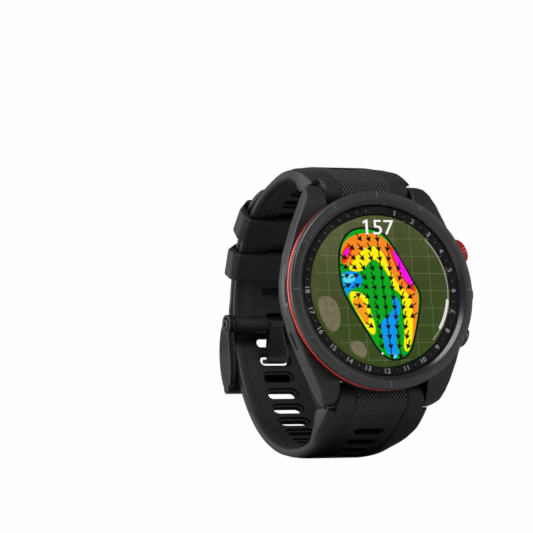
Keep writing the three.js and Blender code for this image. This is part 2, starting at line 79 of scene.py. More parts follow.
BEZEL_LOW, BEZEL_HIGH = mm_box("bezel")
LENS_LOW, LENS_HIGH = mm_box("lens")
SCREEN_LOW, SCREEN_HIGH = mm_box("display_panel")
RING_LOW, RING_HIGH = mm_box("number_ring")
JOINTS = {j["name"]: j for j in RECORD["behaviour"]["joints"]}
PIN_Y, PIN_Z = (v / MM for v in JOINTS["buckle_lift"]["pos_m"][1:])
BAR_Y, BAR_Z = (v / MM for v in JOINTS["band_swing"]["pos_m"][1:])
LOOP_Y = JOINTS["keeper_travel"]["pos_m"][1] / MM


# ------------------------------------------------------------------ mesh helpers, all in millimetres
def make_object(name, verts, faces, smooth=True):
    mesh = bpy.data.meshes.new(name)
    mesh.from_pydata([tuple(c * MM for c in v) for v in verts], [], faces)
    mesh.validate()
    obj = link_object(name, mesh)
    bm = bmesh.new()
    bm.from_mesh(mesh)
    bmesh.ops.recalc_face_normals(bm, faces=bm.faces)
    bm.to_mesh(mesh)
    bm.free()
    for polygon in mesh.polygons:
        polygon.use_smooth = smooth
    return obj


def lathe(name, profile, segments):
    """Turned about the dial's axis, from a closed loop of (radius, y). A radius of 0 makes a pole."""
    verts, faces, rings = [], [], []
    for radius, y in profile:
        if radius < 1e-6:
            rings.append([len(verts)] * segments)
            verts.append((0, y, 0))
            continue
        rings.append(list(range(len(verts), len(verts) + segments)))
        verts += [(radius * math.cos(TAU * i / segments), y, radius * math.sin(TAU * i / segments))
                  for i in range(segments)]
    for a, b in zip(rings, rings[1:] + rings[:1]):
        for i in range(segments):
            j = (i + 1) % segments
            corner = list(dict.fromkeys((a[i], a[j], b[j], b[i])))
            if len(corner) > 2:
                faces.append(corner)
    return make_object(name, verts, faces)


def skin(name, loops):
    """A closed tube through loops that all have the same number of points, flat at both ends."""
    n, last = len(loops[0]), (len(loops) - 1) * len(loops[0])
    faces = [[k * n + j, k * n + (j + 1) % n, (k + 1) * n + (j + 1) % n, (k + 1) * n + j]
             for k in range(len(loops) - 1) for j in range(n)]
    faces += [list(range(n)), [last + j for j in reversed(range(n))]]
    return make_object(name, [point for loop in loops for point in loop], faces)


def prism(name, outline, low, high, place):
    """A closed outline of 2-D points carried from low to high; place(u, v, w) gives the point in space."""
    count = len(outline)
    verts = [place(u, v, low) for u, v in outline] + [place(u, v, high) for u, v in outline]
    faces = [list(range(count)), list(range(count, 2 * count))]
    faces += [[i, (i + 1) % count, count + (i + 1) % count, count + i] for i in range(count)]
    return make_object(name, verts, faces, smooth=False)


def side(u, v, w):
    """An outline of (y, z), carried across the watch."""
    return (w, u, v)


def front(u, v, w):
    """An outline of (x, z), carried from the dial towards the wrist."""
    return (u, w, v)


def circle(cx, cy, radius, count=64, start=0.0, end=360.0):
    """A circle, or an arc of it with both its ends."""
    steps = count if abs(end - start) >= 359.99 else count + 1
    angles = [rad(start + (end - start) * i / count) for i in range(steps)]
    return [(cx + radius * math.cos(a), cy + radius * math.sin(a)) for a in angles]


def obround(half_u, half_v, cu=0.0, cv=0.0, count=12):
    """A stadium; its longer half-size says which way it runs."""
    if half_u > half_v:
        run = half_u - half_v
        return circle(cu + run, cv, half_v, count, -90, 90) + circle(cu - run, cv, half_v, count, 90, 270)
    run = half_v - half_u
    return circle(cu, cv + run, half_u, count, 0, 180) + circle(cu, cv - run, half_u, count, 180, 360)


def rounded_box(half_u, half_v, radius, cu=0.0, cv=0.0, count=6):
    points = []
    for su, sv, start in ((1, 1, 0), (-1, 1, 90), (-1, -1, 180), (1, -1, 270)):
        points += circle(cu + su * (half_u - radius), cv + sv * (half_v - radius), radius, count, start,
                         start + 90)
    return points


def link_object(name, mesh):
    obj = bpy.data.objects.new(name, mesh)
    bpy.context.scene.collection.objects.link(obj)
    return obj


def hull(name, points):
    """The convex solid round a set of points."""
    bm = bmesh.new()
    for point in points:
        bm.verts.new([c * MM for c in point])
    made = bmesh.ops.convex_hull(bm, input=bm.verts)
    spare = {v for key in ("geom_interior", "geom_unused") for v in made[key]
             if isinstance(v, bmesh.types.BMVert)}
    bmesh.ops.delete(bm, geom=list(spare), context="VERTS")
    bmesh.ops.recalc_face_normals(bm, faces=bm.faces)
    mesh = bpy.data.meshes.new(name)
    bm.to_mesh(mesh)
    bm.free()
    return link_object(name, mesh)


def block(name, x0, x1, y0, y1, z0, z1):
    return prism(name, [(x0, z0), (x1, z0), (x1, z1), (x0, z1)], y0, y1, front)


def roller(name, radius, x0, x1, y, z, count=64):
    return prism(name, circle(y, z, radius, count), x0, x1, side)


def moved(obj, x, y, z):
    obj.data.transform(Matrix.Translation((x * MM, y * MM, z * MM)))
    return obj


def about_loop(obj, angle):
    """From the +Y direction round the loop's centre line to an angle."""
    moved(obj, 0, -LOOP_Y, 0)
    obj.data.transform(Matrix.Rotation(rad(angle), 4, "X"))
    return moved(obj, 0, LOOP_Y, 0)


def about_dial(obj, angle):
    """Anticlockwise round the dial, as it is seen from the front."""
    obj.data.transform(Matrix.Rotation(-rad(angle), 4, "Y"))
    return obj


def laid_across(obj):
    """From a layout about the dial's axis to one about a line across the watch."""
    obj.data.transform(Matrix.Rotation(-math.pi / 2, 4, "Z"))
    return obj


def aim(obj, angle, y):
    """From a layout about the dial's axis to one about a line that leaves it at an angle above 3 o'clock."""
    return about_dial(moved(laid_across(obj), 0, y, 0), angle)


def spoke(name, profile, angle, y, segments=64):
    """Turned about such a line; profile of (radius, distance from the dial's axis)."""
    return aim(lathe(name, profile, segments), angle, y)


def apply_modifiers(obj):
    graph = bpy.context.evaluated_depsgraph_get()
    mesh = bpy.data.meshes.new_from_object(obj.evaluated_get(graph))
    old = obj.data
    obj.modifiers.clear()
    obj.data = mesh
    mesh.name = obj.name
    if old.users == 0:
        bpy.data.meshes.remove(old)
    return obj


def drop(obj):
    mesh = obj.data
    bpy.data.objects.remove(obj)
    if mesh.users == 0:
        bpy.data.meshes.remove(mesh)


def merge(objs, name):
    """One object that holds the meshes of several, which are used up."""
    bm = bmesh.new()
    for obj in objs:
        bm.from_mesh(obj.data)
    mesh = bpy.data.meshes.new(name)
    bm.to_mesh(mesh)
    bm.free()
    for obj in objs:
        drop(obj)
    return link_object(name, mesh)


def boolean(base, tool, operation):
    mod = base.modifiers.new("cut", "BOOLEAN")
    mod.operation = operation
    mod.solver = "MANIFOLD"
    mod.object = tool
    apply_modifiers(base)
    drop(tool)
    return base


def carve(base, add=(), cut=()):
    for tool in add:
        boolean(base, tool, "UNION")
    for tool in cut:
        boolean(base, tool, "DIFFERENCE")
    return base


def soften(obj, voxel, rounds):
    """Remeshes a cut solid evenly and relaxes it, so that every edge has a small moulded radius."""
    mod = obj.modifiers.new("remesh", "REMESH")
    mod.mode = "VOXEL"
    mod.voxel_size = voxel * MM
    apply_modifiers(obj)
    mod = obj.modifiers.new("relax", "SMOOTH")
    mod.factor = 0.5
    mod.iterations = rounds
    apply_modifiers(obj)
    for polygon in obj.data.polygons:
        polygon.use_smooth = True
    return obj


def bevel(obj, width, segments=3):
    mod = obj.modifiers.new("bevel", "BEVEL")
    mod.width = width * MM
    mod.segments = segments
    mod.limit_method = "ANGLE"
    mod.angle_limit = rad(30)
    mod.harden_normals = True
    apply_modifiers(obj)
    shade(obj, 40)
    return obj


def shade(obj, angle):
    """Smooth, but for the edges that turn by more than an angle."""
    for polygon in obj.data.polygons:
        polygon.use_smooth = True
    bm = bmesh.new()
    bm.from_mesh(obj.data)
    limit = rad(angle)
    for edge in bm.edges:
        if len(edge.link_faces) == 2 and edge.calc_face_angle(0) > limit:
            edge.smooth = False
    bm.to_mesh(obj.data)
    bm.free()
    return obj


def place(obj, body, slot, *nodes, material=None, sharp=None):
    """Gives an object its body, material and the CAD nodes it replaces; edges over an angle stay sharp."""
    if sharp:
        shade(obj, sharp)
    if material:
        obj.data.materials.clear()
        obj.data.materials.append(material)
    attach(obj, body)
    if nodes:
        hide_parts(*nodes)
    return obj


# ------------------------------------------------------------------ materials
BLACK_UNDER_LIGHT = (0.003, 0.003, 0.003, 1.0)  # base colour of what shines by itself


def node(tree, kind):
    return tree.nodes.new("ShaderNode" + kind)


def connect(tree, value, socket):
    """Gives an input a fixed value, or another node's output."""
    if isinstance(value, bpy.types.NodeSocket):
        tree.links.new(value, socket)
    else:
        socket.default_value = value


def new_material(name):
    mat = bpy.data.materials.new(name)
    mat.use_nodes = True
    tree = mat.node_tree
    tree.nodes.clear()
    out = node(tree, "OutputMaterial")
    shader = node(tree, "BsdfPrincipled")
    tree.links.new(shader.outputs[0], out.inputs[0])
    return mat, tree, shader


def feed(tree, made, **values):
    """Connects a node's inputs by name."""
    for key, value in values.items():
        connect(tree, value, made.inputs[key.replace("_", " ")])


def coordinates(tree, scale=(1, 1, 1)):
    where = node(tree, "TexCoord")
    mapping = node(tree, "Mapping")
    feed(tree, mapping, Vector=where.outputs["Object"], Scale=scale)
    return mapping.outputs[0]


def split_coordinates(tree):
    where = node(tree, "TexCoord")
    split = node(tree, "SeparateXYZ")
    tree.links.new(where.outputs["Object"], split.inputs[0])
    return split.outputs


def noise(tree, scale, detail, where=None):
    made = node(tree, "TexNoise")
    feed(tree, made, Vector=where or coordinates(tree), Scale=scale, Detail=detail)
    return made.outputs[0]


def mixed(tree, factor, a, b):
    """A colour between a and b."""
    mix = node(tree, "Mix")
    mix.data_type = "RGBA"
    for index, value in ((6, a), (7, b), (0, factor)):
        connect(tree, value, mix.inputs[index])
    return mix.outputs[2]


def maths(tree, operation, *values):
    made = node(tree, "Math")
    made.operation = operation
    for socket, value in zip(made.inputs, values):
        connect(tree, value, socket)
    return made.outputs[0]


def spread(tree, value, low, high, to_low=0.0, to_high=1.0):
    """Carries the range from low to high over to another range, and stops at its ends."""
    made = node(tree, "MapRange")
    for socket, number in zip(made.inputs, (value, low, high, to_low, to_high)):
        connect(tree, number, socket)
    return made.outputs[0]


def scaled(colour, factor, plus=0.0):
    """A lighter or darker colour, with its alpha."""
    return tuple(min(1.0, c * factor + plus) for c in colour) + (1.0,)


def mottled(tree, pattern, dark, pale):
    """Between two colours, by a noise pattern that mostly keeps to the middle of its range."""
    return mixed(tree, spread(tree, pattern, 0.3, 0.7), dark, pale)


def add_bump(tree, shader, height, strength, distance):
    bump = node(tree, "Bump")
    feed(tree, bump, Height=height, Strength=strength, Distance=distance)
    tree.links.new(bump.outputs[0], shader.inputs["Normal"])


def output_node(tree):
    return next(n for n in tree.nodes if n.type == "OUTPUT_MATERIAL")


def mix_shaders(tree, factor, a, b):
    """The material's output becomes a mix of two shaders."""
    blend = node(tree, "MixShader")
    for value, socket in zip((factor, a.outputs[0], b.outputs[0]), blend.inputs):
        tree.links.new(value, socket)
    tree.links.new(blend.outputs[0], output_node(tree).inputs[0])


def finish_material(name, colour, roughness, grain_depth=0.00001, metallic=0.0, variation=0.12,
                    rough_variation=0.06, pale_edges=0.0, specular=0.5, coat=0.0):
    """A moulded, coated or machined finish: fine grain in the bump, slow mottling, and paler colour along
    sharp convex edges.
    """
    mat, tree, shader = new_material(name)
    where = coordinates(tree)
    fine = noise(tree, 2500.0, 2.0, where)
    slow = noise(tree, 120.0, 3.0, where)
    tone = mottled(tree, slow, scaled(colour, 1 - variation), scaled(colour, 1 + variation, 0.004))
    if pale_edges:
        # Paler colour where the surface is sharply convex, on the edges.
        geometry = node(tree, "NewGeometry")
        edge = spread(tree, geometry.outputs["Pointiness"], 0.505, 0.56, 0.0, pale_edges)
        tone = mixed(tree, edge, tone, scaled(colour, 2.2, 0.03))
    rough = spread(tree, slow, 0.25, 0.75, roughness - rough_variation, roughness + rough_variation)
    feed(tree, shader, Base_Color=tone, Roughness=rough, Metallic=metallic, Specular_IOR_Level=specular,
         Coat_Weight=coat, Coat_Roughness=0.08)
    add_bump(tree, shader, fine, 0.5, grain_depth)
    return mat


def brushed_material(name, colour, roughness, stretch=(1, 1, 1)):
    """Metal with fine lines; stretch is small along the lines."""
    mat, tree, shader = new_material(name)
    lines = noise(tree, 3000.0, 3.0, coordinates(tree, stretch))
    slow = noise(tree, 200.0, 2.0)
    tone = mottled(tree, lines, scaled(colour, 0.85), scaled(colour, 1.12))
    rough = spread(tree, slow, 0.3, 0.7, roughness * 0.8, roughness * 1.2)
    feed(tree, shader, Base_Color=tone, Roughness=rough, Metallic=1.0)
    add_bump(tree, shader, lines, 0.4, 0.000006)
    return mat


def glow_material(name, colour, variation=0.0, strength=1.0, scale=300.0):
    """A lit colour of the screen: mostly its own light, under a dark gloss. The ring's print uses it too, as
    a painted glow.
    """
    mat, tree, shader = new_material(name)
    slow = noise(tree, scale, 3.0)
    tone = mixed(tree, spread(tree, slow, 0.3, 0.7), tuple(c * (1 - variation) for c in colour) + (1.0,),
                 tuple(c * (1 + variation) for c in colour) + (1.0,))
    feed(tree, shader, Base_Color=BLACK_UNDER_LIGHT, Specular_IOR_Level=0.05, Roughness=0.4,
         Emission_Color=tone, Emission_Strength=strength)
    return mat


MESH_BAND = 6.4  # half-width of the strap's textured band
MESH_PITCH = 0.62
STRAP_MEAN_R = 35.0


def woven_pattern(tree):
    """The diagonal ridges on the strap, from 0 in the hollows to 1; and where the textured band is."""
    calc = partial(maths, tree)
    across, y, z = split_coordinates(tree)
    angle = calc("ARCTAN2", z, calc("SUBTRACT", y, LOOP_Y * MM))
    along = calc("MULTIPLY", angle, STRAP_MEAN_R * MM)
    turns = TAU / (MESH_PITCH * MM) * 0.7071
    one = calc("SINE", calc("MULTIPLY", calc("ADD", along, across), turns))
    two = calc("SINE", calc("MULTIPLY", calc("SUBTRACT", along, across), turns))
    band = calc("LESS_THAN", calc("ABSOLUTE", across), MESH_BAND * MM)
    return spread(tree, calc("MAXIMUM", one, two), 0.2, 0.9), band


def silicone_material(name, colour, textured=True):
    """Matt silicone; a textured strap has the woven band on its outer side, with a painted highlight on the
    weave's ridges, and painted shade in the weave's hollows and on the walls of its slots.
    """
    mat, tree, shader = new_material(name)
    calc = partial(maths, tree)
    plain = coordinates(tree)
    slow = noise(tree, 90.0, 4.0, plain)
    tone = mottled(tree, slow, scaled(colour, 0.88), scaled(colour, 1.14))
    height = calc("MULTIPLY", noise(tree, 5000.0, 1.0, plain), 0.12)
    gloss = 0.3
    if textured:
        marked = node(tree, "Attribute")
        marked.attribute_name = "outer"
        weave, band = woven_pattern(tree)
        mask = calc("MULTIPLY", band, calc("MAXIMUM", marked.outputs["Fac"], 0.0))
        weave = calc("MULTIPLY", weave, mask)
        hollow = calc("MULTIPLY", calc("SUBTRACT", 1.0, weave), mask)
        slot_wall = calc("MAXIMUM", calc("MULTIPLY", marked.outputs["Fac"], -1.0), 0.0)
        # Painted shade: the weave's hollows and the slots' walls are painted nearly black, and lose most of
        # their gloss.
        painted_shade = calc("MAXIMUM", hollow, slot_wall)
        height = calc("ADD", height, weave)
        # Painted highlight: the weave's ridges are painted up to 4.2 times lighter than the silicone.
        tone = mixed(tree, weave, tone, scaled(colour, 4.2))
        tone = mixed(tree, calc("MULTIPLY", painted_shade, 0.85), tone, scaled(colour, 0.15))
        gloss = calc("ADD", calc("MULTIPLY", weave, 0.4), gloss)
        gloss = calc("MULTIPLY", gloss, calc("SUBTRACT", 1.0, calc("MULTIPLY", painted_shade, 0.9)))
    feed(tree, shader, Base_Color=tone, Roughness=spread(tree, slow, 0.3, 0.7, 0.46, 0.6),
         Specular_IOR_Level=gloss, Sheen_Weight=0.03, Sheen_Roughness=0.4)
    add_bump(tree, shader, height, 0.9, 0.00012)
    return mat


STRAP_BLACK = (0.0062, 0.0063, 0.0066)
M_CASE = finish_material("case_polymer", (0.0075, 0.0076, 0.0079), 0.38, pale_edges=0.12, grain_depth=0.00002,
                         specular=0.35)
M_COVER = finish_material("cover_polymer", (0.0075, 0.0076, 0.0079), 0.45, pale_edges=0.1, specular=0.35)
M_BEZEL = finish_material("bezel_metal", (0.026, 0.0262, 0.0268), 0.34, metallic=0.35, variation=0.05,
                          pale_edges=0.15, rough_variation=0.03)
M_CHAMFER = finish_material("bezel_chamfer", (0.030, 0.030, 0.031), 0.2, metallic=0.6, variation=0.04,
                            rough_variation=0.02)
M_RED = finish_material("red_anodised", (0.70, 0.022, 0.014), 0.26, metallic=0.35, variation=0.06, pale_edges=0.1,
                        coat=0.3)
M_DARK = finish_material("dark_metal", (0.020, 0.0202, 0.021), 0.3, metallic=0.75, variation=0.06, pale_edges=0.3)
M_PIN = finish_material("pin_black", (0.016, 0.016, 0.017), 0.3, metallic=0.6, pale_edges=0.3)
M_SATIN = finish_material("satin_dark", (0.035, 0.035, 0.036), 0.25, metallic=0.85, variation=0.05)
M_RED_BUTTON = finish_material("red_button", (0.36, 0.012, 0.008), 0.28, metallic=0.3, variation=0.06,
                               coat=0.2)
M_GLOSS = finish_material("button_black", (0.010, 0.010, 0.011), 0.28, pale_edges=0.15, coat=0.2)
M_SEAL = finish_material("seal_rubber", (0.05, 0.05, 0.052), 0.6)
M_STEEL = brushed_material("steel", (0.62, 0.62, 0.64), 0.25, stretch=(0.06, 1, 1))
M_GOLD = brushed_material("gold", (0.86, 0.62, 0.28), 0.22)
M_BOARD = finish_material("board", (0.02, 0.1, 0.055), 0.35, coat=0.3)
M_CELL = brushed_material("cell", (0.5, 0.51, 0.53), 0.35)
M_SILICONE = silicone_material("strap_silicone", STRAP_BLACK)
M_SILICONE_PLAIN = silicone_material("keeper_silicone", (0.0065, 0.0066, 0.0069), textured=False)
M_RING = finish_material("ring_print", (0.004, 0.004, 0.004), 0.45, specular=0.1)
M_MARK = finish_material("tick_paint", (0.11, 0.11, 0.11), 0.4)
M_WINDOW = finish_material("black_gloss", (0.004, 0.004, 0.005), 0.06, coat=1.0, grain_depth=0.000001)
M_DIODE = finish_material("diode_grey", (0.17, 0.17, 0.172), 0.35)


# ------------------------------------------------------------------ the strap
# Stations: angle round the loop from +Y towards +Z, radius of the wrist side, radius of the outside.
UPPER_STATIONS = [(135, 31.6, 35.15), (132, 30.2, 35.8), (128, 28.6, 35.6), (121, 29.9, 35.5),
                  (112, 31.2, 35.0), (98, 31.5, 34.4), (78, 31.2, 33.7), (7.5, 31.2, 33.7)]
LOWER_STATIONS = [(-135, 31.6, 35.15), (-132, 30.2, 35.8), (-128, 28.6, 35.6), (-121, 29.9, 35.5),
                  (-112, 31.7, 35.2), (-98, 32.4, 35.0), (-45, 32.9, 35.4), (-12, 33.0, 35.5),
                  (-6, 33.5, 36.0), (0, 34.6, 37.1), (5, 34.85, 37.35), (10, 34.6, 37.1), (16, 34.0, 36.5),
                  (69, 34.0, 36.5)]
TONGUE_SLOT = -10.8  # the slot that the tongue goes through, in degrees round the loop
UPPER_SLOTS = [19.5 + 9.4 * i for i in range(11)]
LOWER_SLOTS = [TONGUE_SLOT + 8.2 * i for i in range(-13, 9)]
STRAP_HALF = 11.0
STRAP_STEP = 0.7  # degrees between two cross-sections
ROOT_R = 3.9
PIN_BORE_R = 1.05
BUCKLE_BORE_R = 1.1
FLARE_HALF, FLARE_CLEAR = 12.9, 2.45  # the strap's half-width past the lugs, and its room round a lug's tip
FLARE_FROM_Y, FLARE_TO_Y = 12.0, -1.0


def eased(t):
    return t * t * (3 - 2 * t)


def station_at(stations, angle):
    """The radii of the strap's wrist side and outside, eased from one station to the next."""
    for a, b in zip(stations, stations[1:]):
        if (angle - a[0]) * (angle - b[0]) <= 1e-9:
            ease = eased((angle - a[0]) / (b[0] - a[0]))
            return a[1] + (b[1] - a[1]) * ease, a[2] + (b[2] - a[2]) * ease
    return stations[-1][1:]


def on_loop(radius, angle):
    return LOOP_Y + radius * math.cos(rad(angle)), radius * math.sin(rad(angle))


def half_at(half, y):
    """Past the lugs' tips the strap is nearly as wide as the case, and narrows again along the loop."""
    t = min(1.0, max(0.0, (FLARE_FROM_Y - y) / (FLARE_FROM_Y - FLARE_TO_Y)))
    return half + (FLARE_HALF - half) * eased(t)


def about_bar(radius, angle):
    return BAR_Y + radius * math.cos(rad(angle)), BAR_Z + radius * math.sin(rad(angle))


def lug_clearance(sign):
    """The room that the wide part of the strap leaves round the tips of two lugs, also as it swings."""
    made = []
    for x0, x1 in ((STRAP_HALF, 15.0), (-15.0, -STRAP_HALF)):
        made.append(roller("clear", FLARE_CLEAR, x0, x1, BAR_Y, sign * BAR_Z, 48))
        outline = [(BAR_Y, BAR_Z), about_bar(40, 110), (-60, -20), (60, -20), about_bar(60, 0)]
        made.append(prism("clear", [(y, sign * z) for y, z in outline], x0, x1, side))
    return made


def strap_section(half):
    """The cross-section, outer side then wrist side, as (across, which side, depth below that side)."""
    outer = [(0, 0), (2, 0), (4, 0), (5.5, 0), (6.35, 0), (6.5, 0.22), (6.75, 0.22), (6.9, 0.02), (7.6, 0.08),
             (8.8, 0.24), (half - 1.0, 0.42), (half - 0.45, 0.56), (half - 0.12, 0.82), (half, 1.15)]
    inner = [(half, 0.75), (half - 0.12, 0.42), (half - 0.45, 0.14), (half - 0.9, 0.0), (9.0, 0.0),
             (8.3, 0.02), (7.9, 0.3), (7.4, 0.46), (6.5, 0.5), (5, 0.5), (3, 0.5), (0, 0.5)]
    right = [(x, "o", d) for x, d in outer] + [(x, "i", d) for x, d in inner]
    left = [(-x, s, d) for x, s, d in reversed(right) if x > 0]
    return right + left


def sweep_strap(name, stations, half, round_tip=0.0):
    """A strap along its stations; round_tip is how far from its last end it starts to narrow."""
    first, last = stations[0][0], stations[-1][0]
    count = round(abs(last - first) / STRAP_STEP)
    loops = []
    for i in range(count + 1):
        angle = first + (last - first) * i / count
        inner, outer = station_at(stations, angle)
        to_end = rad(abs(last - angle)) * outer
        narrowing, pinch = 1.0, 0.0
        if round_tip and to_end < round_tip:
            t = 1 - to_end / round_tip  # 0 where the round tip starts, 1 at the end
            narrowing = 1 - 0.34 * (1 - math.sqrt(max(0.0, 1 - t ** 2.6)))
            pinch = 0.55 * max(0.0, t - 0.8) / 0.2
        loop = []
        for across, which, depth in strap_section(half_at(half, on_loop(outer, angle)[0])):
            radius = outer - depth - pinch if which == "o" else inner + depth + pinch
            loop.append((across * narrowing, *on_loop(radius, angle)))
        loops.append(loop)
    return skin(name, loops)


def slot_tool(stations, angle, half_long=3.7, half_wide=1.08):
    """A slot's shape with eased rims on both sides, and a wider sunk rim on the wrist side."""
    inner, outer = station_at(stations, angle)
    levels = [(outer + 1.5, 0.42), (outer + 0.02, 0.30), (outer - 0.14, 0.12), (outer - 0.4, 0.0),
              (inner + 1.12, 0.0), (inner + 1.0, 0.1), (inner + 0.94, 0.5), (inner + 0.7, 0.62),
              (inner - 1.5, 0.8)]
    loops = [[(u, LOOP_Y + radius, v) for u, v in obround(half_long + more, half_wide + more, count=8)]
             for radius, more in levels]
    return about_loop(skin("slot_tool", loops), angle)


def strap_root(name, sign):
    """The round end about the pin, with the grooves that border the textured band."""
    half = [(6.35, ROOT_R), (6.5, 3.68), (6.75, 3.68), (6.9, 3.88), (10, ROOT_R), (10.5, 3.88), (10.85, 3.72),
            (STRAP_HALF, 3.45)]
    profile = [(-x, radius) for x, radius in reversed(half)] + half
    loops = [[(x, *point) for point in circle(BAR_Y, sign * BAR_Z, radius, 96)] for x, radius in profile]
    return skin(name, loops)


def root_cuts(sign):
    """The pin's hole, the shoulders that show the pin's ends, and the release latch's outline."""
    z = sign * BAR_Z
    tools = [roller("pin_hole", PIN_BORE_R, -14, 14, BAR_Y, z, 48)]
    for s in (1, -1):
        x0, x1 = sorted((s * 9.2, s * 15))
        z0, z1 = sorted((sign * 18.0, z + sign * 1.9))
        tools.append(block("shoulder", x0, x1, BAR_Y - 0.2, 1.2, z0, z1))
    tools.append(latch_pocket(sign))
    return tools + lug_clearance(sign)


FACE_TOLERANCE = 0.35  # how deep below the outside a face still counts as outside
ROOT_DEPTH = 2.6  # how far the root lies below the first station's outside
SLOTS_HALF = 6.0  # half-width of the part that has slots


def side_of_strap(polygon, stations):
    """1 where the strap's outer face looks outwards, -1 on the walls of a slot, where the silicone material
    paints shade, and 0 elsewhere.
    """
    y, z = polygon.center.y / MM - LOOP_Y, polygon.center.z / MM
    radius = math.hypot(y, z)
    angle = math.degrees(math.atan2(z, y))
    facing = (polygon.normal.y * y + polygon.normal.z * z) / radius
    low, high = sorted((stations[0][0], stations[-1][0]))
    if not low <= angle <= high:
        root_outside = stations[0][2] - ROOT_DEPTH
        return 1.0 if radius > root_outside - FACE_TOLERANCE and facing > 0.3 else 0.0
    if radius > station_at(stations, angle)[1] - FACE_TOLERANCE and facing > 0.72:
        return 1.0
    return -1.0 if abs(facing) < 0.6 and abs(polygon.center.x / MM) < SLOTS_HALF else 0.0


def mark_outside(obj, stations):
    """Keeps side_of_strap as the face attribute that the silicone material reads."""
    layer = obj.data.attributes.new("outer", "FLOAT", "FACE")
    for polygon in obj.data.polygons:
        layer.data[polygon.index].value = side_of_strap(polygon, stations)


LATCH_SLOPE = 47
LATCH_AT = (1.6, 25.6)


def at_latch(obj, sign):
    """From a flat layout, across by along, to the wrist side of a strap's end."""
    obj.data.transform(Matrix.Rotation(rad(LATCH_SLOPE), 4, "X"))
    moved(obj, 0, *LATCH_AT)
    if sign < 0:
        obj.data.transform(Matrix.Diagonal((1, 1, -1, 1)))
        obj.data.flip_normals()
    return obj


def flat(u, v, w):
    """Across, along the strap, and depth: a layout that at_latch puts in place."""
    return (u, v, w)


def latch_pocket(sign):
    return at_latch(prism("latch_pocket", rounded_box(3.85, 3.15, 0.9), -2.5, 1.45, flat), sign)


def build_latch(sign, name, body, node_name):
    plate = prism(name, rounded_box(3.5, 2.3, 0.7, 0, -0.5), 0.15, 1.15, flat)
    ridge = prism("ridge", rounded_box(2.5, 0.45, 0.35, 0, 1.0), -0.45, 0.6, flat)
    latch = at_latch(carve(plate, [ridge]), sign)
    bevel(latch, 0.14)
    return place(latch, body, "cover_polymer", node_name, material=M_COVER)


def wrist_channel():
    """The shallow channel along the wrist side of the upper strap, with a round end near the buckle."""
    angles = range(8, 86, 3)
    inner = [on_loop(30, a) for a in angles]
    channel = prism("channel", inner + [on_loop(31.62, a) for a in reversed(angles)], -7.4, 7.4, side)
    round_end = prism("round_end", rounded_box(7.4, 30, 7.0, 0, 37.6, 16), 15, 60, front)
    return boolean(channel, round_end, "INTERSECT")


def tongue_gap():
    """The gap in the buckle's barrel that the tongue's root fills."""
    angles = [-8, -5, -2, 1, 4, 7, 9.6]
    outline = [on_loop(26, a) for a in angles] + [on_loop(36, a) for a in reversed(angles)]
    return prism("tongue_gap", outline, -2.25, 2.25, side)


def build_upper_strap():
    strap = sweep_strap("upper_strap_soft", UPPER_STATIONS, STRAP_HALF)
    barrel = roller("barrel", 2.1, -10.95, 10.95, PIN_Y, PIN_Z, 64)
    tools = root_cuts(1) + [roller("buckle_bore", BUCKLE_BORE_R, -14, 14, PIN_Y, PIN_Z, 40), tongue_gap()]
    tools += [slot_tool(UPPER_STATIONS, a) for a in UPPER_SLOTS]
    tools.append(wrist_channel())
    carve(strap, [strap_root("root", 1), barrel], tools)
    finish_strap(strap, UPPER_STATIONS, "upper_strap")


def build_lower_strap():
    strap = sweep_strap("lower_strap_soft", LOWER_STATIONS, STRAP_HALF - 0.4, round_tip=9.0)
    tools = root_cuts(-1) + [slot_tool(LOWER_STATIONS, a) for a in LOWER_SLOTS if a != TONGUE_SLOT]
    tools.append(slot_tool(LOWER_STATIONS, TONGUE_SLOT, 3.8, 1.25))
    carve(strap, [strap_root("root", -1)], tools)
    finish_strap(strap, LOWER_STATIONS, "lower_strap")


def finish_strap(strap, stations, node_name):
    shade(strap, 32)
    mark_outside(strap, stations)
    place(strap, "band", "strap_silicone", node_name, material=M_SILICONE)


build_upper_strap()
build_lower_strap()
build_latch(1, "latch_upper_slider", "latch_up", "latch_upper")
build_latch(-1, "latch_lower_slider", "latch_low", "latch_lower")


# ------------------------------------------------------------------ case, bezel and ring
CASE_R = 23.5
LUG_GAP = 11.35  # half the gap between two lugs
LUG_TIP_R = 2.1
BUTTON_Y = -6.8
# Name, angle above 3 o'clock, head radius, distance of the head's end from the dial's axis, boss radius.
BUTTONS = [("top", 23.5, 3.0, 27.0, 3.4), ("mid", 0.0, 2.3, 26.1, 2.9), ("low", -23.5, 2.3, 26.1, 2.9)]


def lug_pieces():
    """The four lugs, leaning in towards the wrist, with round tips."""
    wide = [(11.35, 3), (11.35, 26.8), (13.2, 26.8), (15.2, 25.2), (19.3, 16.4), (21.9, 9.4), (23.3, 3)]
    narrow = [(11.35, 3), (11.35, 26.8), (12.0, 26.8), (13.2, 24.6), (16.6, 16.4), (19.2, 9.4), (20.4, 3)]
    levels = [(wide, -10.7), (wide, -6.4), (narrow, -1.0)]
    tip = [about_bar(LUG_TIP_R, a) for a in range(110, -1, -10)]
    profile = [(-10.7, 20.8), (-9.9, 23.4), (-8.6, 25.0), (-7.2, 25.75)] + tip
    profile += [(-2.3, 22.3), (-1.7, 19.5), (-4.6, 9), (-5.4, 3)]
    profile += [(y, -z) for y, z in reversed(profile)]
    made = []
    for sx, sz in ((1, 1), (1, -1), (-1, 1), (-1, -1)):
        lug = hull("lug", [(sx * x, y, sz * z) for outline, y in levels for x, z in outline])
        made.append(boolean(lug, prism("lug_profile", profile, -24, 24, side), "INTERSECT"))
    return made


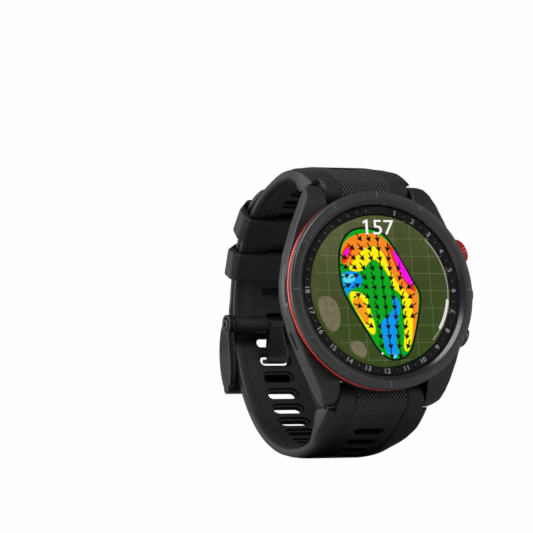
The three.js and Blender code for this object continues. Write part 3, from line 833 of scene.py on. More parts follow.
def case_cuts():
    """The hollow inside, the room for the straps, the buttons' bores, the pins' holes and the side slits."""
    cuts = [block("pocket", -LUG_GAP, LUG_GAP, -9.2, 4, 20.0, 40),
            block("pocket", -LUG_GAP, LUG_GAP, -9.2, 4, -40, -20.0),
            lathe("cavity", [(0, -20), (18.6, -20), (18.6, 4), (0, 4)], 192),
            lathe("cover_seat", [(0, -2.61), (19.9, -2.61), (19.9, 4), (0, 4)], 192)]
    for _, angle, _, _, boss in BUTTONS:
        seat = boss - 1.1
        cuts.append(spoke("bore", [(0, 12), (1.45, 12), (1.45, 30), (0, 30)], angle, BUTTON_Y, 32))
        cuts.append(spoke("counterbore", [(0, 23.5), (seat, 23.5), (seat, 30), (0, 30)], angle, BUTTON_Y, 48))
    cuts.append(roller("pin_hole", PIN_BORE_R, -12.5, 12.5, BAR_Y, BAR_Z, 32))
    cuts.append(roller("pin_seat", PIN_BORE_R, -12.5, 12.5, BAR_Y, -BAR_Z, 32))
    cuts.append(block("pin_way", -12.5, 12.5, BAR_Y, 4, -BAR_Z - PIN_BORE_R, -BAR_Z + 1.3))
    for x0, x1 in ((-24.5, -20.2), (20.2, 24.5)):
        cuts.append(block("side_slit", x0, x1, -8.3, -7.6, -15.2, -9.2))
    return cuts


def build_case():
    profile = [(18.6, -10.7), (22.5, -10.7), (22.75, -10.6), (23.35, -9.3), (CASE_R, -8.6), (CASE_R, -6.8),
               (23.3, -6.0), (22.4, -4.2), (20.75, -2.7), (20.5, -2.6), (18.6, -2.6)]
    shell = lathe("case_body_shell", profile, 256)
    bosses = []
    for _, angle, _, _, boss in BUTTONS:
        rounded = [(0, 19.4), (boss, 19.4), (boss, 23.9), (boss - 0.25, 24.18), (0, 24.18)]
        bosses.append(spoke("boss", rounded, angle, BUTTON_Y))
    case = carve(shell, lug_pieces() + bosses, case_cuts())
    soften(case, 0.22, rounds=4)
    place(case, "case", "case_polymer", "case_body", material=M_CASE)


def tick_marks():
    """Twelve fine lines on the flat of the bezel, the four quarters longer."""
    marks = []
    for hour in range(12):
        half = 0.72 if hour % 3 == 0 else 0.42
        outline = rounded_box(0.075, half, 0.05, 0, 22.45)
        tick = prism("tick", outline, BEZEL_LOW[1] - 0.012, BEZEL_LOW[1] + 0.1, front)
        marks.append(about_dial(tick, -30 * hour))
    place(merge(marks, "bezel_ticks"), "case", "bezel_metal", material=M_MARK)


def build_bezel():
    front_y, back_y = BEZEL_LOW[1], BEZEL_HIGH[1]
    profile = [(20.3, back_y), (20.3, -12.95), (20.34, -13.25), (20.5, -13.36), (21.25, -13.93),
               (21.4, -13.985), (21.55, front_y), (22.75, front_y), (22.95, -13.98), (23.15, -13.88),
               (23.4, -13.5), (23.47, -13.3), (CASE_R, -13.1), (CASE_R, -12.4), (23.42, back_y + 0.02),
               (23.3, back_y)]
    bezel = lathe("bezel_ring", profile, 384)
    place(bezel, "case", "bezel_metal", "bezel", material=M_BEZEL)
    bezel.data.materials.append(M_CHAMFER)
    for polygon in bezel.data.polygons:
        x, _, z = polygon.center
        if math.hypot(x, z) < 21.35 * MM and polygon.normal.y < -0.2:
            polygon.material_index = 1
    shade(bezel, 50)


def build_accent_ring():
    profile = [(20.5, -11.9), (23.25, -11.9), (23.4, -11.78), (23.45, -11.45), (23.4, -11.12),
               (23.25, -11.0), (20.5, -11.0)]
    ring = lathe("accent_ring_red", profile, 256)
    place(ring, "case", "red_anodised", "accent_ring", material=M_RED, sharp=50)


build_case()
build_bezel()
build_accent_ring()
tick_marks()


# ------------------------------------------------------------------ the dial under the glass
SCREEN_FRONT = SCREEN_LOW[1]
LAYER = 0.012  # each printed or lit layer stands this far in front of the one behind it
SHEET_THICKNESS = 0.008
PICTURE_SHIFT = (0.55, 0.2)


def sheet(name, outline, level):
    """A thin flat piece of the screen's picture, a number of layers in front of the panel."""
    dx, dz = PICTURE_SHIFT
    y = SCREEN_FRONT - level * LAYER
    return prism(name, [(x + dx, z + dz) for x, z in outline], y, y + SHEET_THICKNESS, front)


def edges_of(outline):
    return zip(outline, outline[1:] + outline[:1])


def smooth_loop(points, rounds=2):
    """Cuts the corners of an outline off, again and again."""
    for _ in range(rounds):
        cut = []
        for a, b in edges_of(points):
            cut.append((a[0] * 0.75 + b[0] * 0.25, a[1] * 0.75 + b[1] * 0.25))
            cut.append((a[0] * 0.25 + b[0] * 0.75, a[1] * 0.25 + b[1] * 0.75))
        points = cut
    return points


def grow(points, amount):
    """An outline pushed outwards along its own normals."""
    area = sum(a[0] * b[1] - b[0] * a[1] for a, b in edges_of(points))
    sign = 1 if area > 0 else -1
    out = []
    for i, (x, z) in enumerate(points):
        before, after = points[i - 1], points[(i + 1) % len(points)]
        dx, dz = after[0] - before[0], after[1] - before[1]
        length = math.hypot(dx, dz) or 1.0
        out.append((x + sign * dz / length * amount, z - sign * dx / length * amount))
    return out


def inside(point, outline):
    x, z = point
    hit = False
    for (x0, z0), (x1, z1) in edges_of(outline):
        if (z0 > z) != (z1 > z) and x < (x1 - x0) * (z - z0) / (z1 - z0) + x0:
            hit = not hit
    return hit


def clock_point(radius, angle):
    """A point on the dial; angles run clockwise from 12 o'clock."""
    return radius * math.sin(rad(angle)), radius * math.cos(rad(angle))


def arc_strip(radius, half, start, end):
    """A curved bar with round ends."""
    outer = circle(0, 0, radius + half, 40, 90 - start, 90 - end)
    inner = circle(0, 0, radius - half, 40, 90 - end, 90 - start)
    cap_end = circle(*clock_point(radius, end), half, 8, 90 - end, -90 - end)[1:-1]
    cap_start = circle(*clock_point(radius, start), half, 8, 270 - start, 90 - start)[1:-1]
    return outer + cap_end + inner + cap_start


GREEN_SHAPE = [(-7.3, 13.9), (-4.9, 14.5), (-1.7, 14.4), (1.1, 13.2), (3.2, 10.4), (4.9, 7.2), (6.5, 4.4),
               (8.0, 1.7), (9.3, -0.4), (9.4, -2.7), (8.5, -6.5), (7.3, -10.8), (6.1, -14.2), (4.2, -16.1),
               (1.3, -16.7), (-1.0, -15.8), (-3.1, -13.4), (-4.7, -10.6), (-6.5, -7.7), (-8.4, -4.5),
               (-10.0, -1.4), (-10.8, 1.2), (-11.0, 4.2), (-10.9, 7.6), (-10.4, 9.9), (-9.2, 12.2)]
SLOPES = [
    ("orange", (0.95, 0.25, 0.01), [
        (-10.2, 6.2), (-10.2, 9.5), (-8.9, 11.6), (-6.5, 12.9), (-3.6, 13.4), (-0.8, 13.2), (1.4, 12.0),
        (3.1, 9.9), (5.5, 5.3), (8.4, 0.4), (9.0, -1.2), (8.7, -4.4), (7.6, -8.7), (6.2, -13.2),
        (5.8, -12.3), (6.5, -8.7), (6.7, -4.4), (6.4, -1.4), (5.2, -0.4), (3.4, 1.2), (2.1, 4.0),
        (1.0, 6.9), (0.5, 9.3), (-1.9, 10.6), (-3.9, 9.8), (-5.5, 7.9), (-7.0, 6.2), (-9.0, 5.4)]),
    ("yellow", (1.0, 0.86, 0.0), [
        (-8.8, 5.0), (-6.0, 8.2), (-3.9, 9.9), (-1.5, 10.4), (0.7, 8.7), (1.4, 6.1), (2.6, 3.5), (3.8, 1.4),
        (5.1, 0.1), (6.6, -1.4), (7.1, -2.9), (7.0, -7.0), (6.6, -10.8), (5.4, -14.9), (3.9, -14.2),
        (4.6, -10.4), (4.7, -6.5), (4.7, -2.7), (4.0, -0.6), (2.7, -0.1), (1.8, 2.7), (0.4, 5.2),
        (-1.7, 7.4), (-3.5, 6.3), (-4.8, 4.6), (-6.3, 4.1), (-8.1, 4.4)]),
    ("red_right", (0.78, 0.03, 0.0), [
        (1.7, 11.3), (3.0, 10.2), (5.5, 5.9), (8.1, 1.1), (8.5, -0.5), (7.3, -0.2), (5.7, 1.4), (3.7, 5.0),
        (2.6, 8.0)]),
    ("magenta_right", (0.95, 0.0, 0.85), [
        (3.1, 9.8), (4.4, 8.0), (6.0, 5.0), (7.5, 2.1), (7.9, 0.9), (7.0, 1.0), (5.3, 2.9), (4.2, 5.5),
        (3.3, 8.0)]),
    ("red_left", (0.78, 0.03, 0.0), [
        (-10.4, 5.9), (-10.3, 8.6), (-8.5, 10.7), (-6.9, 10.2), (-7.8, 8.2), (-9.2, 6.3)]),
    ("magenta_left", (0.95, 0.0, 0.85), [(-9.9, 7.6), (-9.3, 9.2), (-8.1, 9.8), (-8.4, 8.4), (-9.2, 7.5)]),
    ("blue_left", (0.0, 0.30, 0.90), [
        (-10.6, 4.2), (-6.3, 4.2), (-5.2, 2.2), (-5.9, 0.5), (-8.1, 0.2), (-9.3, -1.0), (-9.6, -1.8),
        (-10.4, 1.3)]),
    ("cyan_left", (0.10, 0.70, 0.95), [
        (-10.5, 3.8), (-8.2, 3.7), (-6.9, 3.0), (-7.4, 1.9), (-9.3, 1.4), (-10.3, 1.9)]),
    ("yellow_low", (1.0, 0.86, 0.0), [
        (-9.0, -0.9), (-8.2, -0.4), (-5.9, -0.8), (-4.5, -1.6), (-4.1, -3.6), (-3.6, -6.2), (-3.0, -7.9),
        (-2.9, -10.2), (-3.7, -10.9), (-4.9, -9.6), (-6.2, -7.5), (-7.8, -4.5), (-8.9, -2.4)]),
    ("orange_low", (0.98, 0.33, 0.01), [
        (-8.4, -2.7), (-6.5, -1.6), (-5.3, -3.2), (-4.6, -5.7), (-4.5, -8.2), (-5.4, -8.5), (-6.9, -5.8),
        (-8.1, -3.8)]),
    ("blue_low", (0.0, 0.30, 0.90), [
        (2.2, -1.2), (3.4, -1.9), (4.1, -4.0), (3.3, -6.6), (2.6, -10.0), (2.0, -13.0), (3.0, -15.3),
        (1.3, -16.2), (-0.6, -15.2), (-1.1, -11.7), (-1.5, -8.7), (-0.9, -7.1), (1.3, -5.8), (2.3, -4.0),
        (1.9, -2.3)]),
    ("cyan_low", (0.10, 0.70, 0.95), [(-0.1, -15.3), (1.3, -14.9), (2.4, -15.9), (0.9, -16.4)]),
]
BUNKERS = [
    [(-17.2, -3.0), (-16.3, -1.7), (-14.3, -1.6), (-12.5, -2.8), (-11.6, -5.3), (-11.8, -8.3), (-13.1, -10.0),
     (-15.0, -9.5), (-16.0, -7.7), (-16.9, -5.4)],
    [(-9.8, -12.6), (-8.1, -12.0), (-6.3, -12.6), (-5.4, -14.5), (-6.2, -16.3), (-7.9, -15.6), (-9.2, -14.7)],
]
GRID_X, GRID_Z, GRID_AT = 4.4, 4.1, (3.5, 12.06)
GRID_HALF, GRID_R = 0.04, 17.6


def screen_material():
    """Grass seen from above: olive to deep green, darker towards the lower right, with soft mottling."""
    mat, tree, shader = new_material("screen_grass")
    calc = partial(maths, tree)
    x, _, z = split_coordinates(tree)
    soft, fine = noise(tree, 140.0, 4.0), noise(tree, 1400.0, 3.0)
    slant = calc("ADD", calc("MULTIPLY", z, 0.8), calc("MULTIPLY", x, -0.35))
    slant = calc("ADD", slant, calc("MULTIPLY", calc("SUBTRACT", soft, 0.5), 0.022))
    ramp = node(tree, "ValToRGB")
    tree.links.new(spread(tree, slant, -0.018, 0.02), ramp.inputs[0])
    stops = ramp.color_ramp.elements
    stops[0].color = (0.034, 0.068, 0.008, 1)
    stops[1].color = (0.105, 0.120, 0.045, 1)
    stops.new(0.5).color = (0.047, 0.066, 0.014, 1)
    speck = spread(tree, fine, 0.35, 0.65, 0.0, 0.22)
    feed(tree, shader, Base_Color=BLACK_UNDER_LIGHT, Specular_IOR_Level=0.05, Emission_Strength=1.0,
         Emission_Color=mixed(tree, speck, ramp.outputs[0], (0.02, 0.035, 0.005, 1)))
    return mat


def screen_piece(obj, name, material):
    obj.name = name
    return place(obj, "case", "screen", material=material)


def build_panel():
    y, back_y = SCREEN_FRONT, SCREEN_HIGH[1]
    panel = lathe("display_picture", [(0, y), (17.75, y), (17.8, y + 0.05), (17.8, back_y), (0, back_y)], 160)
    place(panel, "case", "screen", "display_panel", material=screen_material(), sharp=40)


def straight(cx, cz, half_x, half_z):
    return [(cx - half_x, cz - half_z), (cx + half_x, cz - half_z), (cx + half_x, cz + half_z),
            (cx - half_x, cz + half_z)]


def build_grid():
    lines = []
    for k in range(-9, 9):
        x, z = GRID_AT[0] + GRID_X * k, GRID_AT[1] + GRID_Z * k
        if abs(x) < 17:
            reach = math.sqrt(GRID_R ** 2 - x * x)
            lines.append(sheet("line", straight(x, 0, GRID_HALF, reach), 2))
        if abs(z) < 17:
            reach = math.sqrt(GRID_R ** 2 - z * z)
            lines.append(sheet("line", straight(0, z, reach, GRID_HALF), 2.3))
    screen_piece(merge(lines, "grid"), "map_grid", glow_material("grid_line", (0.16, 0.20, 0.11), 0.1))


def build_bunkers():
    shapes = [smooth_loop(outline, 3) for outline in BUNKERS]
    rims = [sheet("rim", grow(shape, 0.10), 1) for shape in shapes]
    sands = [sheet("sand", shape, 1.5) for shape in shapes]
    screen_piece(merge(rims, "rims"), "bunker_rims", glow_material("bunker_rim", (0.12, 0.10, 0.035)))
    screen_piece(merge(sands, "sands"), "bunkers",
                 glow_material("bunker_sand", (0.165, 0.145, 0.08), 0.15, scale=900))


def build_green():
    """The putting green with the colours of its slopes; gives back its outline."""
    shape = smooth_loop(GREEN_SHAPE)
    screen_piece(sheet("edge", grow(shape, 0.30), 3), "green_edge",
                 glow_material("ink", (0.002, 0.002, 0.002)))
    screen_piece(sheet("base", grow(shape, -0.20), 4), "green_base",
                 glow_material("slope_green", (0.0, 0.38, 0.01), 0.06))
    for i, (name, colour, outline) in enumerate(SLOPES):
        screen_piece(sheet(name, smooth_loop(outline), 5 + 0.35 * i), "slope_" + name,
                     glow_material("slope_" + name, colour, 0.04))
    return shape


def arrow(x, z, heading):
    """The outline of a short arrow; heading in degrees clockwise from up."""
    points = [(-0.16, -1.15), (0.16, -1.15), (0.16, 0.05), (0.78, -0.1), (0.0, 1.25), (-0.78, -0.1),
              (-0.16, 0.05)]
    c, s = math.cos(rad(heading)), math.sin(rad(heading))
    return [(x + u * c + v * s, z - u * s + v * c) for u, v in points]


def downhill(row, x, z):
    """The heading of the arrow at a place on the green: down, leaning towards the sides."""
    if x > 5.5 and z < 1:
        return 240
    if x < -6 and -1.5 < z < 4:
        return 55 + 12 * (z % 2)
    lean = 0.5 + 0.12 * row
    return 180 - 6.0 * (lean - x) - (22 if x < -4 and z < 3 else 0)


def build_arrows(shape):
    arrows = []
    inner = grow(shape, -0.9)
    for row in range(14):
        for column in range(-5, 6):
            x = 0.1 + column * 2.35 + 0.12 * row - 0.8
            z = 12.3 - row * 2.3
            if inside((x, z), inner):
                arrows.append(sheet("arrow", arrow(x, z, downhill(row, x, z)), 10))
    screen_piece(merge(arrows, "arrows"), "slope_arrows", glow_material("arrow_ink", (0.003, 0.003, 0.003)))


def figure_one(size):
    """The figure 1, with its flag."""
    points = [(-0.02, -0.355), (0.085, -0.355), (0.085, 0.355), (0.0, 0.355), (-0.13, 0.25), (-0.13, 0.155),
              (-0.02, 0.235)]
    return prism("figures", [(x * size, z * size) for x, z in points], -0.005, 0.005, front)


def figures_of(text, size, widen):
    """Figures as a closed flat mesh that faces the front, centred on the origin."""
    made = figure_one(size) if text == "1" else text_mesh(text, size)
    made.data.transform(Matrix.Diagonal((widen, 1, 1, 1)))
    return made


def text_mesh(text, size):
    data = bpy.data.curves.new("figures", "FONT")
    data.body = text
    data.align_x, data.align_y = "CENTER", "CENTER"
    data.size = size * MM
    data.extrude = 0.005 * MM
    data.resolution_u = 4
    temp = link_object("figures", data)
    graph = bpy.context.evaluated_depsgraph_get()
    mesh = bpy.data.meshes.new_from_object(temp.evaluated_get(graph))
    bpy.data.objects.remove(temp)
    bpy.data.curves.remove(data)
    mesh.transform(Matrix.Rotation(math.pi / 2, 4, "X"))
    xs = [v.co.x for v in mesh.vertices]
    zs = [v.co.z for v in mesh.vertices]
    mesh.transform(Matrix.Translation((-(min(xs) + max(xs)) / 2, 0, -(min(zs) + max(zs)) / 2)))
    return link_object("figures", mesh)


def build_readout():
    """The distance in large figures, and the arc with its mark at the right edge of the screen."""
    made = []
    y = SCREEN_FRONT - 12 * LAYER
    for figure, x in (("1", -3.39), ("5", -0.42), ("7", 2.55)):
        made.append(moved(figures_of(figure, 5.0, 1.2), x + PICTURE_SHIFT[0], y, 14.95))
    white = glow_material("white_figures", (0.95, 0.95, 0.95))
    screen_piece(merge(made, "figures"), "distance_figures", white)
    thin = sheet("thin", arc_strip(16.75, 0.13, 45, 135), 9)
    screen_piece(thin, "distance_arc", glow_material("grey_arc", (0.30, 0.31, 0.30)))
    thick = sheet("thick", arc_strip(16.6, 0.36, 99, 123), 10)
    screen_piece(thick, "distance_arc_mark", glow_material("white_arc", (0.72, 0.72, 0.71)))
    dot = sheet("dot", circle(-1.6, -15.1, 0.26, 20), 12)
    screen_piece(dot, "pin_dot", glow_material("white_dot", (0.9, 0.9, 0.9)))


NUMBERS_R = 18.98


def ring_mark(name, outline):
    return prism(name, outline, RING_LOW[1] - 0.014, RING_LOW[1] - 0.004, front)


def build_ring_print():
    """The numbers 1 to 18, dots between them, and plain ticks over the upper left, in grey print with a
    painted glow.
    """
    marks, figures = [], []
    for n in range(1, 19):
        angle = 15.0 * n
        upright = -angle if angle < 100 else 180 - angle
        number = about_dial(figures_of(str(n), 1.62, 1.15), upright)
        x, z = clock_point(NUMBERS_R, angle)
        figures.append(moved(number, x, RING_LOW[1] - 0.012, z))
    for i in range(17):
        marks.append(ring_mark("dot", circle(*clock_point(NUMBERS_R, 22.5 + 15.0 * i), 0.1, 12)))
    for i in range(11):
        tick = ring_mark("tick", rounded_box(0.05, 0.26, 0.03, 0, NUMBERS_R))
        marks.append(about_dial(tick, -277.5 - 7.5 * i))
    # Painted light: the numbers, dots and ticks shine by themselves, though the ring under the glass gives no
    # light.
    place(merge(figures, "dial_numbers"), "case", "ring_print",
          material=glow_material("number_print_glow", (0.34, 0.34, 0.34), strength=0.9))
    place(merge(marks, "dial_dots"), "case", "ring_print",
          material=glow_material("dot_print_glow", (0.25, 0.25, 0.25), strength=0.9))


def build_number_ring():
    front_y, back_y = RING_LOW[1], RING_HIGH[1]
    profile = [(18.1, back_y), (18.1, front_y + 0.03), (18.13, front_y), (19.97, front_y),
               (20.0, front_y + 0.03), (20.0, back_y)]
    ring = lathe("number_ring_print", profile, 160)
    place(ring, "case", "ring_print", "number_ring", material=M_RING, sharp=40)


def glass_material(name, tint, ior):
    """Glass that lets what is behind it straight through, tinted, and reflects from its outer side only."""
    mat, tree, shader = new_material(name)
    smear = noise(tree, 60.0, 4.0)
    feed(tree, shader, Base_Color=(0.0, 0.0, 0.0, 1), Specular_IOR_Level=0.6,
         Roughness=spread(tree, smear, 0.3, 0.7, 0.03, 0.09))
    clear = node(tree, "BsdfTransparent")
    feed(tree, clear, Color=tint + (1.0,))
    facing = node(tree, "Fresnel")
    feed(tree, facing, IOR=ior)
    geometry = node(tree, "NewGeometry")
    outer_side = maths(tree, "SUBTRACT", 1.0, geometry.outputs["Backfacing"])
    mix_shaders(tree, maths(tree, "MULTIPLY", facing.outputs[0], outer_side), clear, shader)
    return mat


def build_lens():
    low, high = LENS_LOW[1], LENS_HIGH[1]
    profile = [(0, low), (19.6, low), (19.8, low + 0.03), (19.94, low + 0.1), (20.0, low + 0.22),
               (20.0, high), (0, high)]
    lens = lathe("lens_glass_disc", profile, 192)
    glass = glass_material("lens_glass", (1.0, 1.0, 1.0), 1.16)
    place(lens, "case", "glass", "lens", material=glass, sharp=50)


build_panel()
build_grid()
build_bunkers()
build_arrows(build_green())
build_readout()
build_number_ring()
build_ring_print()
build_lens()


# ------------------------------------------------------------------ buttons
def turned_parts(name, head, tip):
    """The pusher and the face of a button, both still about the dial's axis."""
    groove = head - 0.44
    profile = [(0, 17.3), (1.05, 17.3), (1.15, 17.4), (1.15, 24.9), (head - 0.25, 24.9), (head, 25.15),
               (head, tip - 0.32), (head - 0.08, tip - 0.1), (head - 0.2, tip), (head - 0.36, tip),
               (groove, tip - 0.1), (groove, tip - 0.6), (0, tip - 0.6)]
    pusher = lathe("button_" + name + "_pusher", profile, 144)
    cap, high = head - 0.6, tip + 0.2
    profile = [(0, tip - 0.3), (cap - 0.1, tip - 0.3), (cap, tip - 0.2), (cap, tip + 0.05),
               (cap - 0.14, tip + 0.18), (cap - 0.4, high), (cap * 0.74, high), (cap * 0.7, tip + 0.1),
               (cap * 0.62, tip + 0.1), (cap * 0.58, high), (0, high)]
    disc = lathe("button_" + name + "_face", profile, 96)
    return pusher, disc


def decorate(pusher, disc, head, tip):
    """The fluted rim and the cross of the red button."""
    flute = rounded_box(0.17, 0.2, 0.08, 0, head + 0.06)
    flutes = [about_dial(prism("flute", flute, 25.35, tip - 0.4, front), 15 * i) for i in range(24)]
    boolean(pusher, merge(flutes, "flutes"), "DIFFERENCE")
    for half_x, half_z in ((1.1, 0.14), (0.14, 1.1)):
        carve(disc, (), [block("slot", -half_x, half_x, tip + 0.08, tip + 1, -half_z, half_z)])
    about_dial(disc, 45)


def build_button(name, angle, head, tip):
    node = "button_" + name
    body = node + "_body"
    pusher, disc = turned_parts(name, head, tip)
    slot, material = "cover_polymer", M_GLOSS
    if name == "top":
        slot, material = "red_anodised", M_RED_BUTTON
        decorate(pusher, disc, head, tip)
    place(aim(pusher, angle, BUTTON_Y), body, slot, node, material=material, sharp=35)
    place(aim(disc, angle, BUTTON_Y), body, "cover_polymer", node + "_cap", material=M_GLOSS, sharp=35)


for button in BUTTONS:
    build_button(*button[:4])


# ------------------------------------------------------------------ back of the case
LED_Z = 1.6
RECESS_X = 13.2  # the charging recess, from the middle of the watch
CONTACT_Z = (3.3, 1.1, -1.1, -3.3)


def recess(name, half_x, half_z, low, high):
    """A rounded shape round the charging contacts."""
    return prism(name, obround(half_x, half_z, RECESS_X, 0, 24), low, high, front)


def sensor_mask_material():
    """Black under the window, lit green close to the two light sources."""
    mat, tree, shader = new_material("sensor_mask")
    calc = partial(maths, tree)
    x, _, z = split_coordinates(tree)
    glow = []
    for led_z in (LED_Z * MM, -LED_Z * MM):
        dz = calc("SUBTRACT", z, led_z)
        far = calc("SQRT", calc("ADD", calc("MULTIPLY", x, x), calc("MULTIPLY", dz, dz)))
        glow.append(calc("POWER", spread(tree, far, 0.0006, 0.0034, 1.0, 0.0), 2.4))
    grain = noise(tree, 1500.0, 2.0)
    feed(tree, shader, Base_Color=(0.004, 0.004, 0.004, 1), Emission_Color=(0.008, 0.20, 0.035, 1),
         Emission_Strength=calc("MULTIPLY", calc("ADD", *glow), spread(tree, grain, 0.2, 0.8, 0.55, 0.8)),
         Roughness=spread(tree, grain, 0.2, 0.8, 0.3, 0.5))
    return mat


def build_rear_cover():
    profile = [(7.8, -2.3), (16.0, -2.3), (16.0, -4.1), (17.4, -4.1), (17.4, -2.3), (19.6, -2.3),
               (19.6, -1.8), (19.55, -1.68), (19.4, -1.6), (17.9, -1.55), (17.4, -1.48), (16.8, -1.32),
               (16.1, -1.1), (15.7, -1.02), (15.3, -1.0), (10.1, -1.0), (9.7, -0.97), (9.45, -0.86),
               (9.1, -0.55), (8.85, -0.38), (8.6, -0.31), (8.3, -0.3), (7.9, -0.3), (7.8, -0.36)]
    cover = lathe("rear_cover_plate", profile, 256)
    carve(cover, (), [recess("recess", 2.3, 6.2, -2.0, 1), recess("pin_way", 1.25, 4.9, -6, 1)])
    place(cover, "case", "cover_polymer", "rear_cover", material=M_COVER, sharp=32)


def build_charging_port():
    rim = recess("charging_rim", 2.95, 6.85, -1.6, -0.84)
    carve(rim, (), [recess("opening", 2.32, 6.22, -3, 1)])
    soften(rim, 0.12, rounds=5)
    place(rim, "case", "cover_polymer", material=M_COVER)
    contact = recess("contact_plate", 0.95, 4.6, -4.6, -1.9)
    bevel(contact, 0.12)
    place(contact, "case", "black_gloss", "contact_block", material=M_WINDOW)
    for z in CONTACT_Z:
        node_name = "contact_pin_" + str(nearest_pin(z))
        profile = [(0, -1.98), (0.66, -1.98), (0.66, -1.86), (0.58, -1.8), (0.42, -1.8), (0.42, -1.42),
                   (0.36, -1.28), (0.22, -1.21), (0, -1.2)]
        pin = moved(lathe(node_name + "_gold", profile, 48), RECESS_X, 0, z)
        place(pin, "case", "gold", node_name, material=M_GOLD, sharp=40)


def nearest_pin(z):
    """The number of the CAD's contact pin at that height."""
    centres = {i: sum(v[2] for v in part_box("contact_pin_" + str(i))) / 2 / MM for i in (1, 2, 3, 4)}
    return min(centres, key=lambda i: abs(centres[i] - z))


def build_sensor():
    profile = [(7.1, -2.2), (7.5, -2.2), (7.5, -0.22), (7.44, -0.1), (7.34, -0.05), (7.16, -0.05),
               (7.1, -0.1)]
    collar = lathe("sensor_collar_ring", profile, 192)
    place(collar, "case", "dark_metal", "sensor_collar", material=M_DARK, sharp=40)
    profile = [(0, -0.8), (6.9, -0.8), (6.9, -0.28), (6.84, -0.12), (6.7, -0.03), (6.5, 0), (0, 0)]
    glass = glass_material("sensor_glass", (0.74, 0.75, 0.74), 1.45)
    place(lathe("sensor_window_glass", profile, 192), "case", "black_gloss", "sensor_window",
          material=glass, sharp=40)
    mask = lathe("sensor_mask", [(0, -1.5), (7.0, -1.5), (7.0, -1.4), (0, -1.4)], 128)
    place(mask, "case", "black_gloss", material=sensor_mask_material())


build_rear_cover()
build_charging_port()
build_sensor()


# ------------------------------------------------------------------ pins, buckle and keepers
def axle(name, profile, y, z):
    """Turned about a line across the watch; profile of (radius, x)."""
    return moved(laid_across(lathe(name, profile, 64)), 0, y, z)


def both_ways(half):
    """A profile for one half of a turned bar, mirrored to make the whole."""
    return [(r, -x) for r, x in reversed(half)] + half


def build_spring_bar(name, body, z):
    half = [(0.62, 2.0), (0.72, 2.1), (0.72, 9.6), (0.75, 9.7), (0.75, 10.9), (0.7, 11.0), (0.56, 11.0),
            (0.56, 12.0), (0.44, 12.2), (0, 12.2)]
    bar = axle(name + "_steel", both_ways(half), BAR_Y, z)
    place(bar, body, "steel", name, material=M_STEEL, sharp=35)


def build_buckle_pin():
    half = [(0.8, 12.75), (1.35, 12.75), (1.35, 13.1), (1.25, 13.22), (1.1, 13.25), (0, 13.25)]
    pin = axle("buckle_pin_screw", both_ways(half), PIN_Y, PIN_Z)
    for x0, x1 in ((12.9, 14), (-14, -12.9)):
        carve(pin, (), [roller("socket", 0.62, x0, x1, PIN_Y, PIN_Z, 6)])
    place(pin, "band", "dark_metal", "buckle_pin", material=M_PIN, sharp=35)


FRAME_IN, FRAME_OUT = 11.45, 13.05  # the arms' inner and outer faces
BAR_END_R, EYE_R, SCREW_SEAT_R = 1.4, 2.4, 1.65
ARM_END = (37.3, -20.5)  # the far bar, as distance from the loop's centre line and angle


def build_frame():
    bar = on_loop(*ARM_END)
    outline = [on_loop(31.2, 3), on_loop(31.4, -4), on_loop(31.8, -11), on_loop(33.2, -17.5),
               on_loop(35.2, -21.5), bar, on_loop(38.7, -19.5), on_loop(38.8, -12), on_loop(37.6, -3),
               on_loop(35.4, 4.5), (PIN_Y, PIN_Z + 1.4)]
    outline = smooth_loop(outline, 3)
    whole = roller("buckle_frame_body", BAR_END_R, -FRAME_OUT, FRAME_OUT, *bar, 48)
    angles = [-11.5, -13, -15, -17, -19, -21]
    plate = [on_loop(36.5, a) for a in angles] + [on_loop(38.3, a) for a in reversed(angles)]
    carve(whole, [prism("plate", plate, -FRAME_OUT, FRAME_OUT, side)])
    for low, high in ((FRAME_IN, FRAME_OUT), (-FRAME_OUT, -FRAME_IN)):
        arm = prism("arm", outline, low, high, side)
        eye = roller("eye", EYE_R, low, high, PIN_Y, PIN_Z, 64)
        carve(whole, [arm, eye, roller("corner", BAR_END_R, low, high, *bar, 48)])
    carve(whole, (), [roller("bore", BUCKLE_BORE_R, -20, 20, PIN_Y, PIN_Z, 48)])
    for x0, x1 in ((FRAME_OUT - 0.6, 20), (-20, 0.6 - FRAME_OUT)):
        carve(whole, (), [roller("seat", SCREW_SEAT_R, x0, x1, PIN_Y, PIN_Z, 64)])
    soften(whole, 0.13, rounds=7)
    place(whole, "buckle", "dark_metal", "buckle_frame", material=M_DARK)


def about_pin(radius, degrees):
    """A point round the buckle's pin; 0 is towards 6 o'clock and 90 away from the dial."""
    return (PIN_Y + radius * math.sin(rad(degrees)), PIN_Z - radius * math.cos(rad(degrees)))


def build_tongue():
    plate = [(PIN_Y - 1.5, PIN_Z - 0.6), (PIN_Y + 0.6, PIN_Z - 1.6), on_loop(32.7, -8.6), about_pin(9.85, -5),
             on_loop(31.6, -10.6)]
    sweep = [-6, -3.5, -1, 1.5, 4, 6.5, 9, 11.5, 14, 16.5, 19]
    tip = [about_pin(8.8, a) for a in sweep] + [about_pin(9.85, a) for a in reversed(sweep)]
    taper = [(1.9, PIN_Z + 3), (1.9, PIN_Z - 2.4), (2.9, PIN_Z - 7.4), (2.9, PIN_Z - 14)]
    taper += [(-x, z) for x, z in reversed(taper)]
    tongue = roller("buckle_tongue_plate", 1.9, -1.9, 1.9, PIN_Y, PIN_Z, 64)
    carve(tongue, [prism("plate", plate, -2.9, 2.9, side), prism("tip", tip, -2.4, 2.4, side)])
    boolean(tongue, prism("taper", taper, 30, 60, front), "INTERSECT")
    carve(tongue, (), [roller("bore", BUCKLE_BORE_R, -12, 12, PIN_Y, PIN_Z, 40)])
    soften(tongue, 0.1, rounds=5)
    place(tongue, "tongue", "dark_metal", "buckle_tongue", material=M_SATIN)


def across_loop(u, v, w):
    """An outline of (x, distance from the loop's centre line), carried along the strap."""
    return (u, LOOP_Y + v, w)


